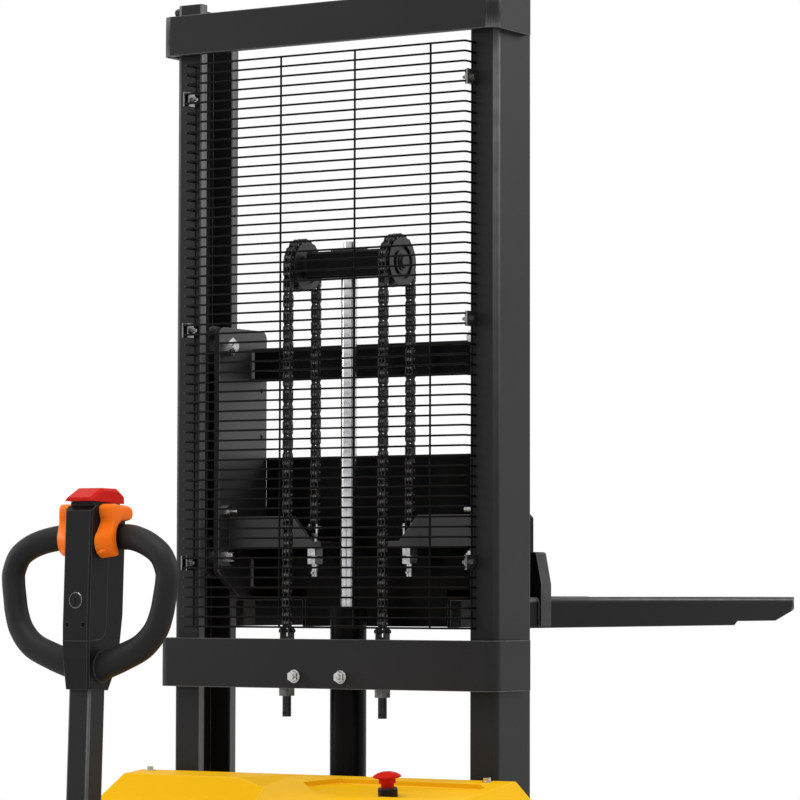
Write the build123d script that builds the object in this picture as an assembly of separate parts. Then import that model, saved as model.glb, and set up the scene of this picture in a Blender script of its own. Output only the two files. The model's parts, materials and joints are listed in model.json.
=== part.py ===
from build123d import *
import math
import os

os.makedirs("parts", exist_ok=True)

# Millimetres. While modelling, Y = 0 lies CHANNEL_Y behind the uprights, Y grows towards the
# fork tips and Z = 0 is the floor. The finished pieces are moved so that the origin lies on the
# floor under the middle of the whole truck.

# Clearances
RUN = 0.05
SIDE_GAP = 0.3
SLACK = 0.1
TIP_GAP = 4.0

# Mast
BEAM_W = 632.0
BEAM_T = 12.0
BEAM_DEPTH = 109.0
BEAM_BEND = 18.0
BEAM_STAND = 15.0
TOP_BEAM_DOWN = 86.3
TOP_BEAM_H = 65.0
LOW_BEAM_Z = 951.0
LOW_BEAM_H = 78.0
MAST_SPARE = 22.0
CHANNEL_Y = 18.5
CHANNEL_DEPTH = 108.0
CHANNEL_W = 49.0
FLANGE_T = 18.0
WEB_T = 10.0
CHANNEL_BEND = 9.0
TOP_SCREW_DOWN = 10.0
TOP_SCREW_IN = 11.0
TOP_SCREW_HEAD = (13.0, 7.0)
TOP_SCREW_END = (5.0, 9.0)

# Lift cylinder and rod
CYL_BACK = 3.5
CYL_OD = 58.0
CYL_BORE = 45.0
CYL_TOP = 1080.0
GLAND_H = 30.0
GLAND_CHAMFER = 2.0
WIPER = (4.0, 3.0)
CYL_PLUG = 30.0
ROD_D = 26.0
PISTON_REST = 50.0
ROD_STUD_D = 19.0
ROD_STUD_H = 15.0
PISTON_H = 40.0
SADDLE_H = 30.0
SADDLE_X = (-64.0, 50.0)
SADDLE_BOLT_X = (-50.5, 36.5)
SADDLE_BOLT_D = 10.0
SADDLE_GRIP = 13.0
SADDLE_UP = 4.0
SADDLE_FLANGE = (10.5, 2.5)
SADDLE_NUT = (16.0, 9.0)
SADDLE_END = (4.5, 13.0)

# Crosshead, chain wheels and chains
HEAD_Z = 1604.0
HEAD_H = 43.0
HEAD_HALF = 68.0
HEAD_DEPTH = 44.0
HEAD_CHAMFER = 3.0
END_PLATE = (54.0, 38.0, 4.0)
END_PLATE_CORNER = 6.0
CHAIN_X = 90.0
CHAIN_PITCH = 12.7
PLATE_T = 1.5
PLATE_HALF = 5.7
INNER_HALF = 3.9
ROLLER_R = 3.95
WRAP_LINKS = 10
NEAR_PIN_UP = 89.0
FAR_PIN_UP = 32.0
WHEEL_W = 22.0
WHEEL_FLANGE_R = 39.4
GROOVE_HALF = 9.2
WHEEL_RECESS = (19.5, 27.7, 4.0)
PIN_D = 20.0
PIN_COLLAR = 5.0
SNAP_RING = (4.0, 1.5)
PIN_END = 5.0
PIN_CHAMFER = 1.0

# Chain anchors
STUD_D = 14.0
CLEVIS_ARM = 3.2
CLEVIS_GAP = 0.2
CLEVIS_PIN_D = 6.0
CLEVIS_PIN_END = 5.5
CLEVIS_UP = 6.0
CLEVIS_DOWN = 16.0
CLEVIS_ROOT = 7.0
CLEVIS_DEPTH = 15.0
SPLIT_PIN_D = 3.2
SPLIT_PIN_LEN = 22.0
SPLIT_PIN_UP = 6.0
NUT_AF = 24.0
NUT_STEP = 13.0
NUT_THIN = 2.0
LUG_T = 12.0
LUG_HALF = 17.0
LUG_REACH = 20.0
STUD_DOWN = 46.0

# Wire mesh guard
MESH_Y = -13.0
MESH_OUT = 10.0
MESH_UP = 18.5
MESH_PITCH = 15.66
WIRE = 3.0
MESH_POSTS = (-220.0, -80.0, 60.0, 200.0)
CLAMP_H = 23.0
CLAMP_T = 2.5
CLAMP_SCREW_R = 2.5
CLAMP_SCREW_END = 9.0
CLAMP_NUT_AF = 9.0
CLAMP_NUT_H = 4.5

# Carriage; heights ending in UP are over the fork tops
SIDE_T = 10.0
SIDE_Y = (54.0, 191.0)
SIDE_UP = 438.0
SIDE_HOLES_UP = (262.0, 339.0)
SIDE_HOLE_R = 4.5
SIDE_HOLE_IN = 15.0
SIDE_CUT = (60.0, 38.0)
SIDE_ROUND_TOP = 14.0
SIDE_ROUND_LOW = 18.0
ROLLER_UP = (64.0, 406.0)
ROLLER_W = 28.0
ROLLER_RIM = 10.0
ROLLER_STEP = 2.0
AXLE_D = 20.0
AXLE_COLLAR = 5.0
AXLE_SPARE = 1.0
AXLE_NUT = (26.0, 14.0)
AXLE_END_R = 8.0
AXLE_REACH = 20.0
ADJUSTER_UP = 138.0
ADJUSTER_D = 10.0
ADJUSTER_REACH = 26.0
ADJUSTER_NUT = (17.0, 8.0)
BAR_Y = 150.0
BAR_DEPTH = 30.0
UPPER_BAR_UP = 354.0
LOWER_BAR_UP = 11.0
BAR_H = 54.0
BAR_ROUND = 4.0
LOW_PLATE_HALF = 133.0
LOW_PLATE_T = 12.0
LOW_PLATE_FOOT = 1.0
LOW_PLATE_LAP = 8.0
BRACKET_Y = 85.0
BRACKET_T = 10.0
BRACKET_UP = (78.0, 129.0)
BRACKET_IN = (-26.0, -10.0, 29.0)
FRONT_T = 10.0
FRONT_UP = 229.0
FRONT_WIDE_UP = 125.0

# Forks
FORK_LOW = 88.0
FORK_X = (135.0, 285.0)
FORK_T = 6.0
FORK_SKIRT = 49.0
FORK_TIP_Y = 1130.0
FORK_STEP_Y = 860.0
FORK_STEP = 7.0
FORK_RAMP = 12.0
FORK_ROUND = 9.0
FORK_NOSE = 12.0
NOSE_LEN = 110.0
TIP_H = 14.0
TIP_ROUND = 45.0
TIP_SOLID = 60.0
GUSSET_W = 25.5
GUSSET_OUT = 4.5
GUSSET_Y = (181.0, 212.0)
GUSSET_UP = 71.0
GUSSET_SLOPE = 10.0
GUSSET_SLOPE_UP = 20.0
GUSSET_ROUND = 5.0
GUSSET_FOOT = 3.0
HEEL_STEP = 1.0
HEEL_SPARE = 6.0

# Lift travel of the rod; the carriage rises twice as far
ROD_DOWN = 504.0
ROD_UP = 252.0

# Base frame, legs and load wheels
BASE_OUT = 5.0
BASE_REAR = -20.0
BASE_Z = (20.0, 60.0)
BASE_T = 14.0
LEG_X = (150.0, 270.0)
LEG_Z = (22.0, 74.0)
LEG_T = 8.0
LEG_END_Y = 995.0
LEG_NOSE_R = 23.4
LEG_BAY = 8.0
LOAD_WHEEL_D = 80.0
LOAD_WHEEL_Y = 950.0
LOAD_WHEEL_W = 96.0
LOAD_AXLE_D = 20.0
LOAD_AXLE_END = 2.0
LOAD_TREAD = 12.0
WHEEL_HUB = 7.0
WHEEL_DISH = 4.0
TREAD_SIDE = 2.0
TREAD_EDGE = 3.0
TRAY_X = 395.0
TRAY_T = 6.0
TRAY_TOP = 265.0
TRAY_FRONT = 10.0
BULKHEAD_Y = -440.0
DECK_REAR = -680.0
DECK_T = 10.0
DECK_ROUND = 70.0

# Drive, steering and castors
STEER_Y = -560.0
TURN_R = 84.0
NECK_R = 60.0
TURN_H = 17.0
DRIVE_D = 200.0
DRIVE_W = 70.0
DRIVE_TREAD = 18.0
YOKE_T = 16.0
YOKE_R = 42.0
YOKE_TOP = 22.0
YOKE_OVER = 10.0
YOKE_GAP = 5.0
SHAFT_D = 30.0
SHAFT_END = 6.0
MOTOR_D = 96.0
MOTOR_H = 130.0
MOTOR_SHIFT = 27.0
MOTOR_CAP = 26.0
MOTOR_STEP = 5.0
MOTOR_DOME = (7.0, 6.0)
CASTOR_X = 285.0
CASTOR_Y = -560.0
CASTOR_D = 100.0
CASTOR_W = 36.0
CASTOR_TRAIL = 34.0
CASTOR_PIN_D = 16.0
CASTOR_PIN_UP = 9.0
CASTOR_TREAD = 14.0
CASTOR_GAP = 3.0
CASTOR_PLATE = 5.0
CASTOR_TOP = (26.0, 10.0)
CASTOR_EYE = 13.0
CASTOR_AXLE_R = 6.0
POD_Z = 150.0
POD_HALF = 45.0
POD_T = 8.0
POD_FLOOR = 14.0

# Hood and emergency stop
HOOD_X = 400.0
HOOD_Y = (-470.0, 11.0)
HOOD_TOP = 815.0
HOOD_SLOPE = 5.5
HOOD_CHAMFER = 58.0
HOOD_T = 3.0
STRIP_NEAR = -117.0
STRIP_LEFT = (-359.0, -303.0)
VALLEY_X = (-86.0, -60.0, -34.0)
SHOULDER_RUN = 0.62
SHOULDER_TILT = 25.0
HOOD_BACK_Y = -330.0
ESTOP_X = 200.0
ESTOP_Y = -130.0
ESTOP_R = 21.5
ESTOP_TRAVEL = 5.0
ESTOP_STEM = 10.0
ESTOP_BASE_H = 15.0
ESTOP_COLLAR = 5.0
ESTOP_EDGE = 2.0
ESTOP_NECK = (3.0, 6.0)
ESTOP_CAP = ((1.0, 9.0), (1.0, 11.0), (0.7, 15.0), (0.37, 17.0), (0.0, 17.5))
POCKET_DEEP = 8.5
POCKET = ((1.0, -62.0), (106.0, -183.0), (322.0, -175.0), (330.0, -60.0), (300.0, -26.0), (38.0, -12.0))
LEFT_SCREW = (-322.0, -20.0)
RIGHT_SCREW = (300.0, -4.0)
HOOD_WASHER = (8.0, 1.5)
HOOD_SCREW = (10.0, 7.0)

# Battery, pump unit and motor controller under the hood
BATTERY_X = (15.0, 345.0)
BATTERY_Y = (-260.0, -85.0)
BATTERY_H = 220.0
POST_IN = (45.0, 35.0)
POST = (9.0, 14.0)
TANK_X = (-250.0, 20.0)
TANK_Y = (-400.0, -270.0)
TANK_H = 130.0
TANK_ROUND = 14.0
VALVE_HALF = 45.0
VALVE_H = 40.0
PUMP_MOTOR_R = 56.0
PUMP_MOTOR_H = 130.0
CONTROL_X = (60.0, 300.0)
CONTROL_Z = (80.0, 240.0)
CONTROL_T = 20.0
FINS = 6
FIN_DEEP = 30.0
FIN_SHARE = 0.75
FIN_END = 10.0

# Tiller
TILLER_LEAN = 2.2
GRIP_Z = 1100.0
GRIP_Y = -616.0
PIVOT_Z = 330.0
PIVOT_D = 16.0
EAR_X = 24.0
EAR_T = 11.0
EAR_FOOT = 24.0
EAR_HEAD = 15.0
EAR_UP = 18.0
EAR_SHELF_HALF = 40.0
EAR_SHELF_IN = 3.0
EAR_SHELF_LAP = 26.0
EAR_SHELF_T = 8.0
ARM_W = 38.0
ARM_WALL = 3.0
ARM_ROUND = 4.0
ARM_ROOT = 60.0
ARM_BOSS = (14.0, 4.5)
PIVOT_REACH = 20.0
ARM_END_Z = 975.0
COLUMN_HALF = 24.0
COLUMN_Y = (-33.0, 48.0)
COLUMN_Z0 = 963.0
COLUMN_H = 263.0
COLUMN_REAR = ((8.0, 0.0), (2.0, 45.0), (0.0, 90.0), (0.0, 255.0), (10.0, COLUMN_H))
COLUMN_FRONT = ((-8.0, COLUMN_H), (0.0, 253.0), (0.0, 110.0), (-8.0, 40.0), (-26.0, 0.0))
COLUMN_WAIST = (3.0, 50.0)
COLUMN_EDGE = 3.0
GRIP_R = 16.5
GRIP_PATH = ((20.0, 36.0, 1186.0), (146.0, -9.0, 1168.0), (131.0, -6.0, 1063.0), (18.0, 4.0, 1000.0))
GRIP_BEND = 60.0
BUTTERFLY_Z = 1196.0
BUTTERFLY_Y = 0.0
BUTTERFLY_T = 14.0
BUTTERFLY_R = 7.0
WING = ((-22, -40), (-2, -45), (8, -38), (3, -22), (4, 0), (16, 11), (34, 12), (40, 20), (36, 28))
WING += ((24, 31), (8, 27), (-8, 31), (-20, 29), (-22, 22), (-16, 8), (-25, -8), (-30, -24))
KEY_Z = 1090.0
KEY_R = 10.0
KEY_DEEP = 14.0
KEY_OUT = 1.5
KEY_BACK = 4.0
KEY_SLOT = (1.2, 4.0, 5.0)
HOLE_X = 14.0
HOLE_Z = 1055.0
HOLE = (3.5, 4.0)
ROCKER_Z = 1120.0
ROCKER_DEEP = 3.0
ROCKER_HALF = 8.0
ROCKER_SIDE = ((-7.0, -14.0), (4.0, -15.0), (1.5, 0.0), (4.0, 15.0), (-7.0, 14.0))
ROCKER_ROOM = (9.0, 11.0, 18.0)
ROCKER_PIN = (2.0, 12.5)
BELLY_TRAVEL = 5.0
BELLY_IN = 0.5
BELLY_REAR = ((-1.0, 6.0), (-1.0, 11.0), (26.0, 26.0))
BELLY_FRONT = ((-18.0, 27.0), (0.0, 17.0), (1.0, 6.0))
BELLY_EDGE = 4.0
STEM_HALF = 14.0
STEM_IN = (20.0, 18.0)
COLLAR_IN = 3.0
COLLAR_END = 10.0
COLLAR_H = 5.5
COLLAR_GAP = 0.5

# Derived positions
FORK_TOP = FORK_LOW + 2 * ROD_DOWN
SIDE_TOP = FORK_TOP + SIDE_UP
ROLLER_Z = tuple(FORK_TOP + up for up in ROLLER_UP)
ADJUSTER_Z = FORK_TOP + ADJUSTER_UP
UPPER_BAR_Z = FORK_TOP + UPPER_BAR_UP
LOWER_BAR_Z = FORK_TOP + LOWER_BAR_UP
BRACKET_Z = tuple(FORK_TOP + up for up in BRACKET_UP)
BRACKET_INNER = tuple(CHAIN_X + x for x in BRACKET_IN)
HEEL_Z = FORK_TOP - HEEL_STEP
MAST_TOP = SIDE_TOP + 2 * ROD_UP + MAST_SPARE
TOP_BEAM_Z = MAST_TOP - TOP_BEAM_DOWN
MESH_Z = LOW_BEAM_Z + LOW_BEAM_H + MESH_UP
MESH_ROWS = int((TOP_BEAM_Z - MESH_Z - WIRE) / MESH_PITCH) + 1
CLAMP_ROWS = (6.5, MESH_ROWS // 2 + 1.5, MESH_ROWS - 4.5)
TRAY_FLOOR = BASE_Z[1] + TRAY_T
UPRIGHT_X = BEAM_W / 2 - BEAM_T
TIP_X = UPRIGHT_X - CHANNEL_W
CHANNEL_MID = CHANNEL_Y + CHANNEL_DEPTH / 2
CHANNEL_FRONT = CHANNEL_Y + CHANNEL_DEPTH
BEAM_IN = CHANNEL_Y - BEAM_STAND
BEAM_Y = BEAM_IN - BEAM_T
MAST_Y = CHANNEL_MID - CYL_BACK
MESH_HALF = TIP_X + MESH_OUT
SIDE_X = TIP_X - TIP_GAP
ROLLER_X = TIP_X + TIP_GAP
BASE_X = BEAM_W / 2 + BASE_OUT
BASE_Y = (BASE_REAR, CHANNEL_FRONT)
WHEEL_Z = HEAD_Z + HEAD_H / 2
PITCH_R = CHAIN_PITCH / (2 * math.sin(math.pi / (2 * WRAP_LINKS)))
NEAR_Y = MAST_Y - PITCH_R
FAR_Y = MAST_Y + PITCH_R
NEAR_LINKS = round((WHEEL_Z - LOW_BEAM_Z - NEAR_PIN_UP) / CHAIN_PITCH)
FAR_LINKS = round((WHEEL_Z - BRACKET_Z[0] - FAR_PIN_UP) / CHAIN_PITCH)
FAR_LINKS -= (NEAR_LINKS + WRAP_LINKS + FAR_LINKS + 1) % 2
NEAR_PIN_Z = WHEEL_Z - NEAR_LINKS * CHAIN_PITCH
FAR_PIN_Z = WHEEL_Z - FAR_LINKS * CHAIN_PITCH
GROOVE_R = PITCH_R * math.cos(math.pi / (2 * WRAP_LINKS)) - PLATE_HALF - SIDE_GAP
ROD_LEN = HEAD_Z - ROD_DOWN - BASE_Z[1] - CYL_PLUG - PISTON_REST
ROLLER_D = CHANNEL_DEPTH - 2 * FLANGE_T - 2 * SIDE_GAP
FRONT_Y = SIDE_Y[1]
SIDE_IN = SIDE_X - SIDE_T
FRONT_HALF = SIDE_IN
GUSSET_X = FORK_X[1] + GUSSET_OUT
FRONT_WIDE = GUSSET_X - GUSSET_W
LEG_MID = (LEG_X[0] + LEG_X[1]) / 2
PIVOT_Y = GRIP_Y - (GRIP_Z - PIVOT_Z) * math.tan(math.radians(TILLER_LEAN))
COLUMN_Z = (COLUMN_Z0, COLUMN_Z0 + COLUMN_H)
TRUCK_MID_Y = (FORK_TIP_Y + DECK_REAR) / 2
SLOPE_TAN = math.tan(math.radians(HOOD_SLOPE))
SPAN = 2 * HOOD_X


def save(name, *shapes):
    solids = []
    for shape in shapes:
        solids.extend(shape.solids())
    whole = solids[0] if len(solids) == 1 else Compound(solids)
    export_step(whole.moved(Location((0, -TRUCK_MID_Y, 0))), f"parts/{name}.step")


def block(x, y, z):
    middle = ((x[0] + x[1]) / 2, (y[0] + y[1]) / 2, (z[0] + z[1]) / 2)
    return Pos(*middle) * Box(abs(x[1] - x[0]), abs(y[1] - y[0]), abs(z[1] - z[0]))


def prism_x(points, x0, x1):
    face = Face(Wire.make_polygon([Vector(x0, y, z) for y, z in points], close=True))
    return extrude(face, amount=x1 - x0, dir=(1, 0, 0))


def prism_y(points, y0, y1):
    face = Face(Wire.make_polygon([Vector(x, y0, z) for x, z in points], close=True))
    return extrude(face, amount=y1 - y0, dir=(0, 1, 0))


def prism_z(points, z0, z1):
    face = Face(Wire.make_polygon([Vector(x, y, z0) for x, y in points], close=True))
    return extrude(face, amount=z1 - z0, dir=(0, 0, 1))


def bar(start, direction, radius, length):
    return extrude(Plane(origin=start, z_dir=direction) * Circle(radius), amount=length)


def hexagon(start, direction, flats, length):
    sketch = RegularPolygon(flats / 2, 6, major_radius=False)
    return extrude(Plane(origin=start, z_dir=direction) * sketch, amount=length)


def turned(points, start, direction):
    # A body of revolution: points are (radius, distance along direction)
    face = Plane.XZ * make_face(Polyline(*points, close=True))
    return Plane(origin=start, z_dir=direction) * revolve(face, axis=Axis.Z)


def flipped(shape):
    return mirror(shape, about=Plane.YZ)


def upright():
    x0, x1 = TIP_X, UPRIGHT_X
    y0, y1 = CHANNEL_Y, CHANNEL_FRONT
    web_x = x1 - WEB_T
    points = [(x0, y0), (x1, y0), (x1, y1), (x0, y1)]
    points += [(x0, y1 - FLANGE_T), (web_x, y1 - FLANGE_T), (web_x, y0 + FLANGE_T), (x0, y0 + FLANGE_T)]
    face = make_face(Polyline(*points, close=True))
    corners = [v for v in face.vertices() if abs(v.X - x1) < 1]
    face = fillet(corners, CHANNEL_BEND)
    tips = [v for v in face.vertices() if abs(v.X - x0) < 1]
    face = fillet(tips, CHANNEL_BEND / 3)
    return Pos(0, 0, BASE_Z[1]) * extrude(face, amount=MAST_TOP - BASE_Z[1], dir=(0, 0, 1))


def bent_beam(z0, height):
    half, inner = BEAM_W / 2, UPRIGHT_X
    end = BEAM_Y + BEAM_DEPTH
    points = [(-half, end), (-half, BEAM_Y), (half, BEAM_Y), (half, end)]
    points += [(inner, end), (inner, BEAM_IN), (-inner, BEAM_IN), (-inner, end)]
    face = make_face(Polyline(*points, close=True))
    face = fillet([v for v in face.vertices() if abs(v.Y - BEAM_Y) < 1], BEAM_BEND)
    inside = [v for v in face.vertices() if abs(v.Y - BEAM_IN) < 0.5 and abs(v.X) < half - 1]
    face = fillet(inside, BEAM_BEND - BEAM_T)
    return Pos(0, 0, z0) * extrude(face, amount=height, dir=(0, 0, 1))


def lower_beam():
    beam = bent_beam(LOW_BEAM_Z, LOW_BEAM_H)
    for x in (-CHAIN_X, CHAIN_X):
        z = (LOW_BEAM_Z, LOW_BEAM_Z + LUG_T)
        lug = block((x - LUG_HALF, x + LUG_HALF), (BEAM_IN, NEAR_Y + LUG_REACH), z)
        beam += lug - bar((x, NEAR_Y, LOW_BEAM_Z), (0, 0, 1), STUD_D / 2 + SLACK, LUG_T)
    for x in SADDLE_BOLT_X:
        beam -= bar((x, BEAM_Y, saddle_z()), (0, 1, 0), SADDLE_BOLT_D / 2 + SLACK, BEAM_T)
    return beam


def saddle_z():
    return LOW_BEAM_Z + SADDLE_H / 2 + SADDLE_UP


def saddle():
    z = saddle_z()
    body = block(SADDLE_X, (BEAM_IN, MAST_Y), (z - SADDLE_H / 2, z + SADDLE_H / 2))
    body -= block((-BEAM_W, BEAM_W), (MAST_Y - CYL_OD / 3, MAST_Y + 1), (0, MAST_TOP))
    body -= bar((0, MAST_Y, 0), (0, 0, 1), CYL_OD / 2 + RUN, MAST_TOP)
    for x in SADDLE_BOLT_X:
        body -= bar((x, BEAM_IN, z), (0, 1, 0), SADDLE_BOLT_D / 2 + SLACK, SADDLE_GRIP)
    return body


def saddle_bolts():
    bolts = []
    for x in SADDLE_BOLT_X:
        start = (x, BEAM_Y, saddle_z())
        bolt = bar(start, (0, 1, 0), SADDLE_BOLT_D / 2, BEAM_T + SADDLE_GRIP - 1)
        bolt += bar(start, (0, -1, 0), *SADDLE_FLANGE)
        bolt += hexagon(start, (0, -1, 0), *SADDLE_NUT)
        bolts.append(bolt + bar(start, (0, -1, 0), *SADDLE_END))
    return bolts


def top_screws():
    screws = []
    for side in (-1, 1):
        start = (side * UPRIGHT_X, CHANNEL_Y + TOP_SCREW_IN, MAST_TOP - TOP_SCREW_DOWN)
        head = hexagon(start, (side, 0, 0), *TOP_SCREW_HEAD)
        screws.append(head + bar(start, (side, 0, 0), *TOP_SCREW_END))
    return screws


def cylinder_tube():
    bottom = BASE_Z[1]
    tube = bar((0, MAST_Y, bottom), (0, 0, 1), CYL_OD / 2, CYL_TOP - GLAND_H - bottom)
    return tube - bar((0, MAST_Y, bottom + CYL_PLUG), (0, 0, 1), CYL_BORE / 2, CYL_TOP)


def cylinder_gland():
    r, bore = CYL_OD / 2, ROD_D / 2 + RUN
    z0 = CYL_TOP - GLAND_H
    rim, (wide, deep) = GLAND_CHAMFER, WIPER
    points = [(bore, z0), (r, z0), (r, CYL_TOP - rim), (r - rim, CYL_TOP), (bore + wide, CYL_TOP)]
    return turned(points + [(bore, CYL_TOP - deep)], (0, MAST_Y, 0), (0, 0, 1))


def piston_rod():
    z0 = HEAD_Z - ROD_LEN
    stud_top = HEAD_Z + HEAD_H + ROD_STUD_H
    rod = bar((0, MAST_Y, z0), (0, 0, 1), ROD_D / 2, ROD_LEN)
    rod += bar((0, MAST_Y, HEAD_Z), (0, 0, 1), ROD_STUD_D / 2, stud_top - HEAD_Z)
    return rod + bar((0, MAST_Y, z0), (0, 0, 1), CYL_BORE / 2 - SLACK, PISTON_H)


def crosshead():
    y = (MAST_Y - HEAD_DEPTH / 2, MAST_Y + HEAD_DEPTH / 2)
    body = block((-HEAD_HALF, HEAD_HALF), y, (HEAD_Z, HEAD_Z + HEAD_H))
    body = chamfer(body.edges().filter_by(Axis.X), HEAD_CHAMFER)
    body -= bar((0, MAST_Y, HEAD_Z), (0, 0, 1), ROD_STUD_D / 2 + RUN, HEAD_H)
    for side in (-1, 1):
        body -= bar((side * HEAD_HALF, MAST_Y, WHEEL_Z), (-side, 0, 0), PIN_D / 2 + RUN, HEAD_HALF / 2)
    return body


def rod_end_plate():
    z = HEAD_Z + HEAD_H
    length, width, thick = END_PLATE
    plate = block((-length / 2, length / 2), (MAST_Y - width / 2, MAST_Y + width / 2), (z, z + thick))
    plate = chamfer(plate.edges().filter_by(Axis.Z), END_PLATE_CORNER)
    return plate - bar((0, MAST_Y, z), (0, 0, 1), ROD_STUD_D / 2 + RUN, thick)


def wheel_pin(side):
    inner = CHAIN_X - WHEEL_W / 2 - SIDE_GAP
    outer = CHAIN_X + WHEEL_W / 2 + SIDE_GAP
    r, root, end = PIN_D / 2, HEAD_HALF / 2, outer + PIN_END
    collar, (ring, thick) = r + PIN_COLLAR, SNAP_RING
    points = [(0, root), (r, root), (r, HEAD_HALF), (collar, HEAD_HALF), (collar, inner), (r, inner)]
    points += [(r, outer), (r + ring, outer), (r + ring, outer + thick), (r, outer + thick)]
    points += [(r, end - PIN_CHAMFER), (r - PIN_CHAMFER, end), (0, end)]
    return turned(points, (0, MAST_Y, WHEEL_Z), (side, 0, 0))


def chain_wheel(side):
    half, flange = WHEEL_W / 2, WHEEL_FLANGE_R
    hub, rim, deep = WHEEL_RECESS
    bore = PIN_D / 2 + RUN
    points = [(bore, -half), (hub, -half), (hub, deep - half), (rim, deep - half), (rim, -half)]
    points += [(flange, -half), (flange, -GROOVE_HALF), (GROOVE_R, -GROOVE_HALF)]
    points += [(r, -a) for r, a in reversed(points)]
    return turned(points, (side * CHAIN_X, MAST_Y, WHEEL_Z), (1, 0, 0))


def link_plate(x0, x1):
    # One link plate about the middle of its pitch, long way up
    end, shoulder = CHAIN_PITCH / 2 + PLATE_HALF, CHAIN_PITCH / 2 + PLATE_HALF / 3
    points = [(0, end), (PLATE_HALF, shoulder), (PLATE_HALF, -shoulder)]
    points += [(0, -end), (-PLATE_HALF, -shoulder), (-PLATE_HALF, shoulder)]
    return prism_x(points, x0, x1).solids()[0]


def chain_roller():
    points = [(ROLLER_R, 0), (0, ROLLER_R), (-ROLLER_R, 0), (0, -ROLLER_R)]
    return prism_x(points, -INNER_HALF, INNER_HALF).solids()[0]


def plate_pair(x):
    return link_plate(-x - PLATE_T, -x), link_plate(x, x + PLATE_T)


INNER_PLATES = plate_pair(INNER_HALF)
OUTER_X = INNER_HALF + PLATE_T + RUN
OUTER_PLATES = plate_pair(OUTER_X)
CHAIN_ROLLER = chain_roller()


def links(pins, first, roller_pins):
    # Links between following pins, inner and outer ones by turns, and rollers on the chosen pins
    pieces = []
    for i, (a, b) in enumerate(zip(pins, pins[1:])):
        angle = math.degrees(math.atan2(b[1] - a[1], b[2] - a[2]))
        place = Location(((a[0] + b[0]) / 2, (a[1] + b[1]) / 2, (a[2] + b[2]) / 2), (-angle, 0, 0))
        plates = INNER_PLATES if (first + i) % 2 == 0 else OUTER_PLATES
        pieces += [plate.moved(place) for plate in plates]
    return pieces + [CHAIN_ROLLER.moved(Location(pin)) for pin in roller_pins]


def bored(pieces, pin):
    # The end link takes the clevis pin
    start = (pin[0] - CHAIN_PITCH, pin[1], pin[2])
    hole = bar(start, (1, 0, 0), CLEVIS_PIN_D / 2 + RUN, 2 * CHAIN_PITCH)
    near = [p for p in pieces if abs(p.center().Z - pin[2]) < CHAIN_PITCH]
    return [p for p in pieces if p not in near] + [p - hole for p in near]


def near_run(x):
    pins = [(x, NEAR_Y, NEAR_PIN_Z + k * CHAIN_PITCH) for k in range(NEAR_LINKS + 1)]
    return bored(links(pins, 0, pins[1:-1]), pins[0])


def chain_wrap(x):
    pins = []
    for k in range(WRAP_LINKS + 1):
        angle = math.pi - k * math.pi / WRAP_LINKS
        pins.append((x, MAST_Y + PITCH_R * math.cos(angle), WHEEL_Z + PITCH_R * math.sin(angle)))
    return links(pins, NEAR_LINKS, pins)


def far_run(x):
    pins = [(x, FAR_Y, WHEEL_Z - k * CHAIN_PITCH) for k in range(FAR_LINKS + 1)]
    return bored(links(pins, NEAR_LINKS + WRAP_LINKS, pins[1:-1]), pins[-1])


def anchor(x, y, pin_z, seat_z, nuts):
    # Forked clevis on a threaded stud, cross pin, nuts under the seat and a split pin
    end_z = seat_z - STUD_DOWN
    slot = OUTER_X + CLEVIS_GAP
    half = slot + CLEVIS_ARM
    low = pin_z - CLEVIS_DOWN
    deep = (y - CLEVIS_DEPTH / 2, y + CLEVIS_DEPTH / 2)
    jaws = block((x - half, x + half), deep, (low, pin_z + CLEVIS_UP))
    jaws -= block((x - slot, x + slot), deep, (low + CLEVIS_ROOT, pin_z + CLEVIS_UP))
    stud = bar((x, y, end_z), (0, 0, 1), STUD_D / 2, low - end_z)
    reach = half + CLEVIS_PIN_END
    pin = bar((x - reach, y, pin_z), (1, 0, 0), CLEVIS_PIN_D / 2, 2 * reach)
    split_pin = (x, y - SPLIT_PIN_LEN / 2, end_z + SPLIT_PIN_UP)
    body = jaws + stud + pin + bar(split_pin, (0, 1, 0), SPLIT_PIN_D / 2, SPLIT_PIN_LEN)
    pieces = [body]
    for k in range(nuts):
        nut = hexagon((x, y, seat_z - (k + 1) * NUT_STEP), (0, 0, 1), NUT_AF, NUT_STEP - k * NUT_THIN)
        pieces.append(nut - bar((x, y, end_z), (0, 0, 1), STUD_D / 2 + RUN, pin_z - end_z))
    return pieces


def both_anchors(y, pin_z, seat_z, nuts):
    pieces = []
    for x in (-CHAIN_X, CHAIN_X):
        pieces += anchor(x, y, pin_z, seat_z, nuts)
    return pieces


def mesh_wire():
    a, w = MESH_HALF, WIRE / 2
    end = CHANNEL_Y
    points = [(-a - w, end), (-a - w, MESH_Y - w), (a + w, MESH_Y - w), (a + w, end)]
    points += [(a - w, end), (a - w, MESH_Y + w), (-a + w, MESH_Y + w), (-a + w, end)]
    return prism_z(points, -w, w).solids()[0]


def mesh_guard():
    wire, w = mesh_wire(), WIRE / 2
    pieces = [wire.moved(Location((0, 0, MESH_Z + k * MESH_PITCH))) for k in range(MESH_ROWS)]
    z = (MESH_Z - w, MESH_Z + (MESH_ROWS - 1) * MESH_PITCH + w)
    for x in MESH_POSTS:
        pieces.append(block((x - w, x + w), (MESH_Y + w, MESH_Y + w + WIRE), z))
    for side in (-1, 1):
        x = side * (MESH_HALF - WIRE)
        pieces.append(block((x - w, x + w), (CHANNEL_Y - 2 * WIRE, CHANNEL_Y - WIRE), z))
    return pieces


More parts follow.
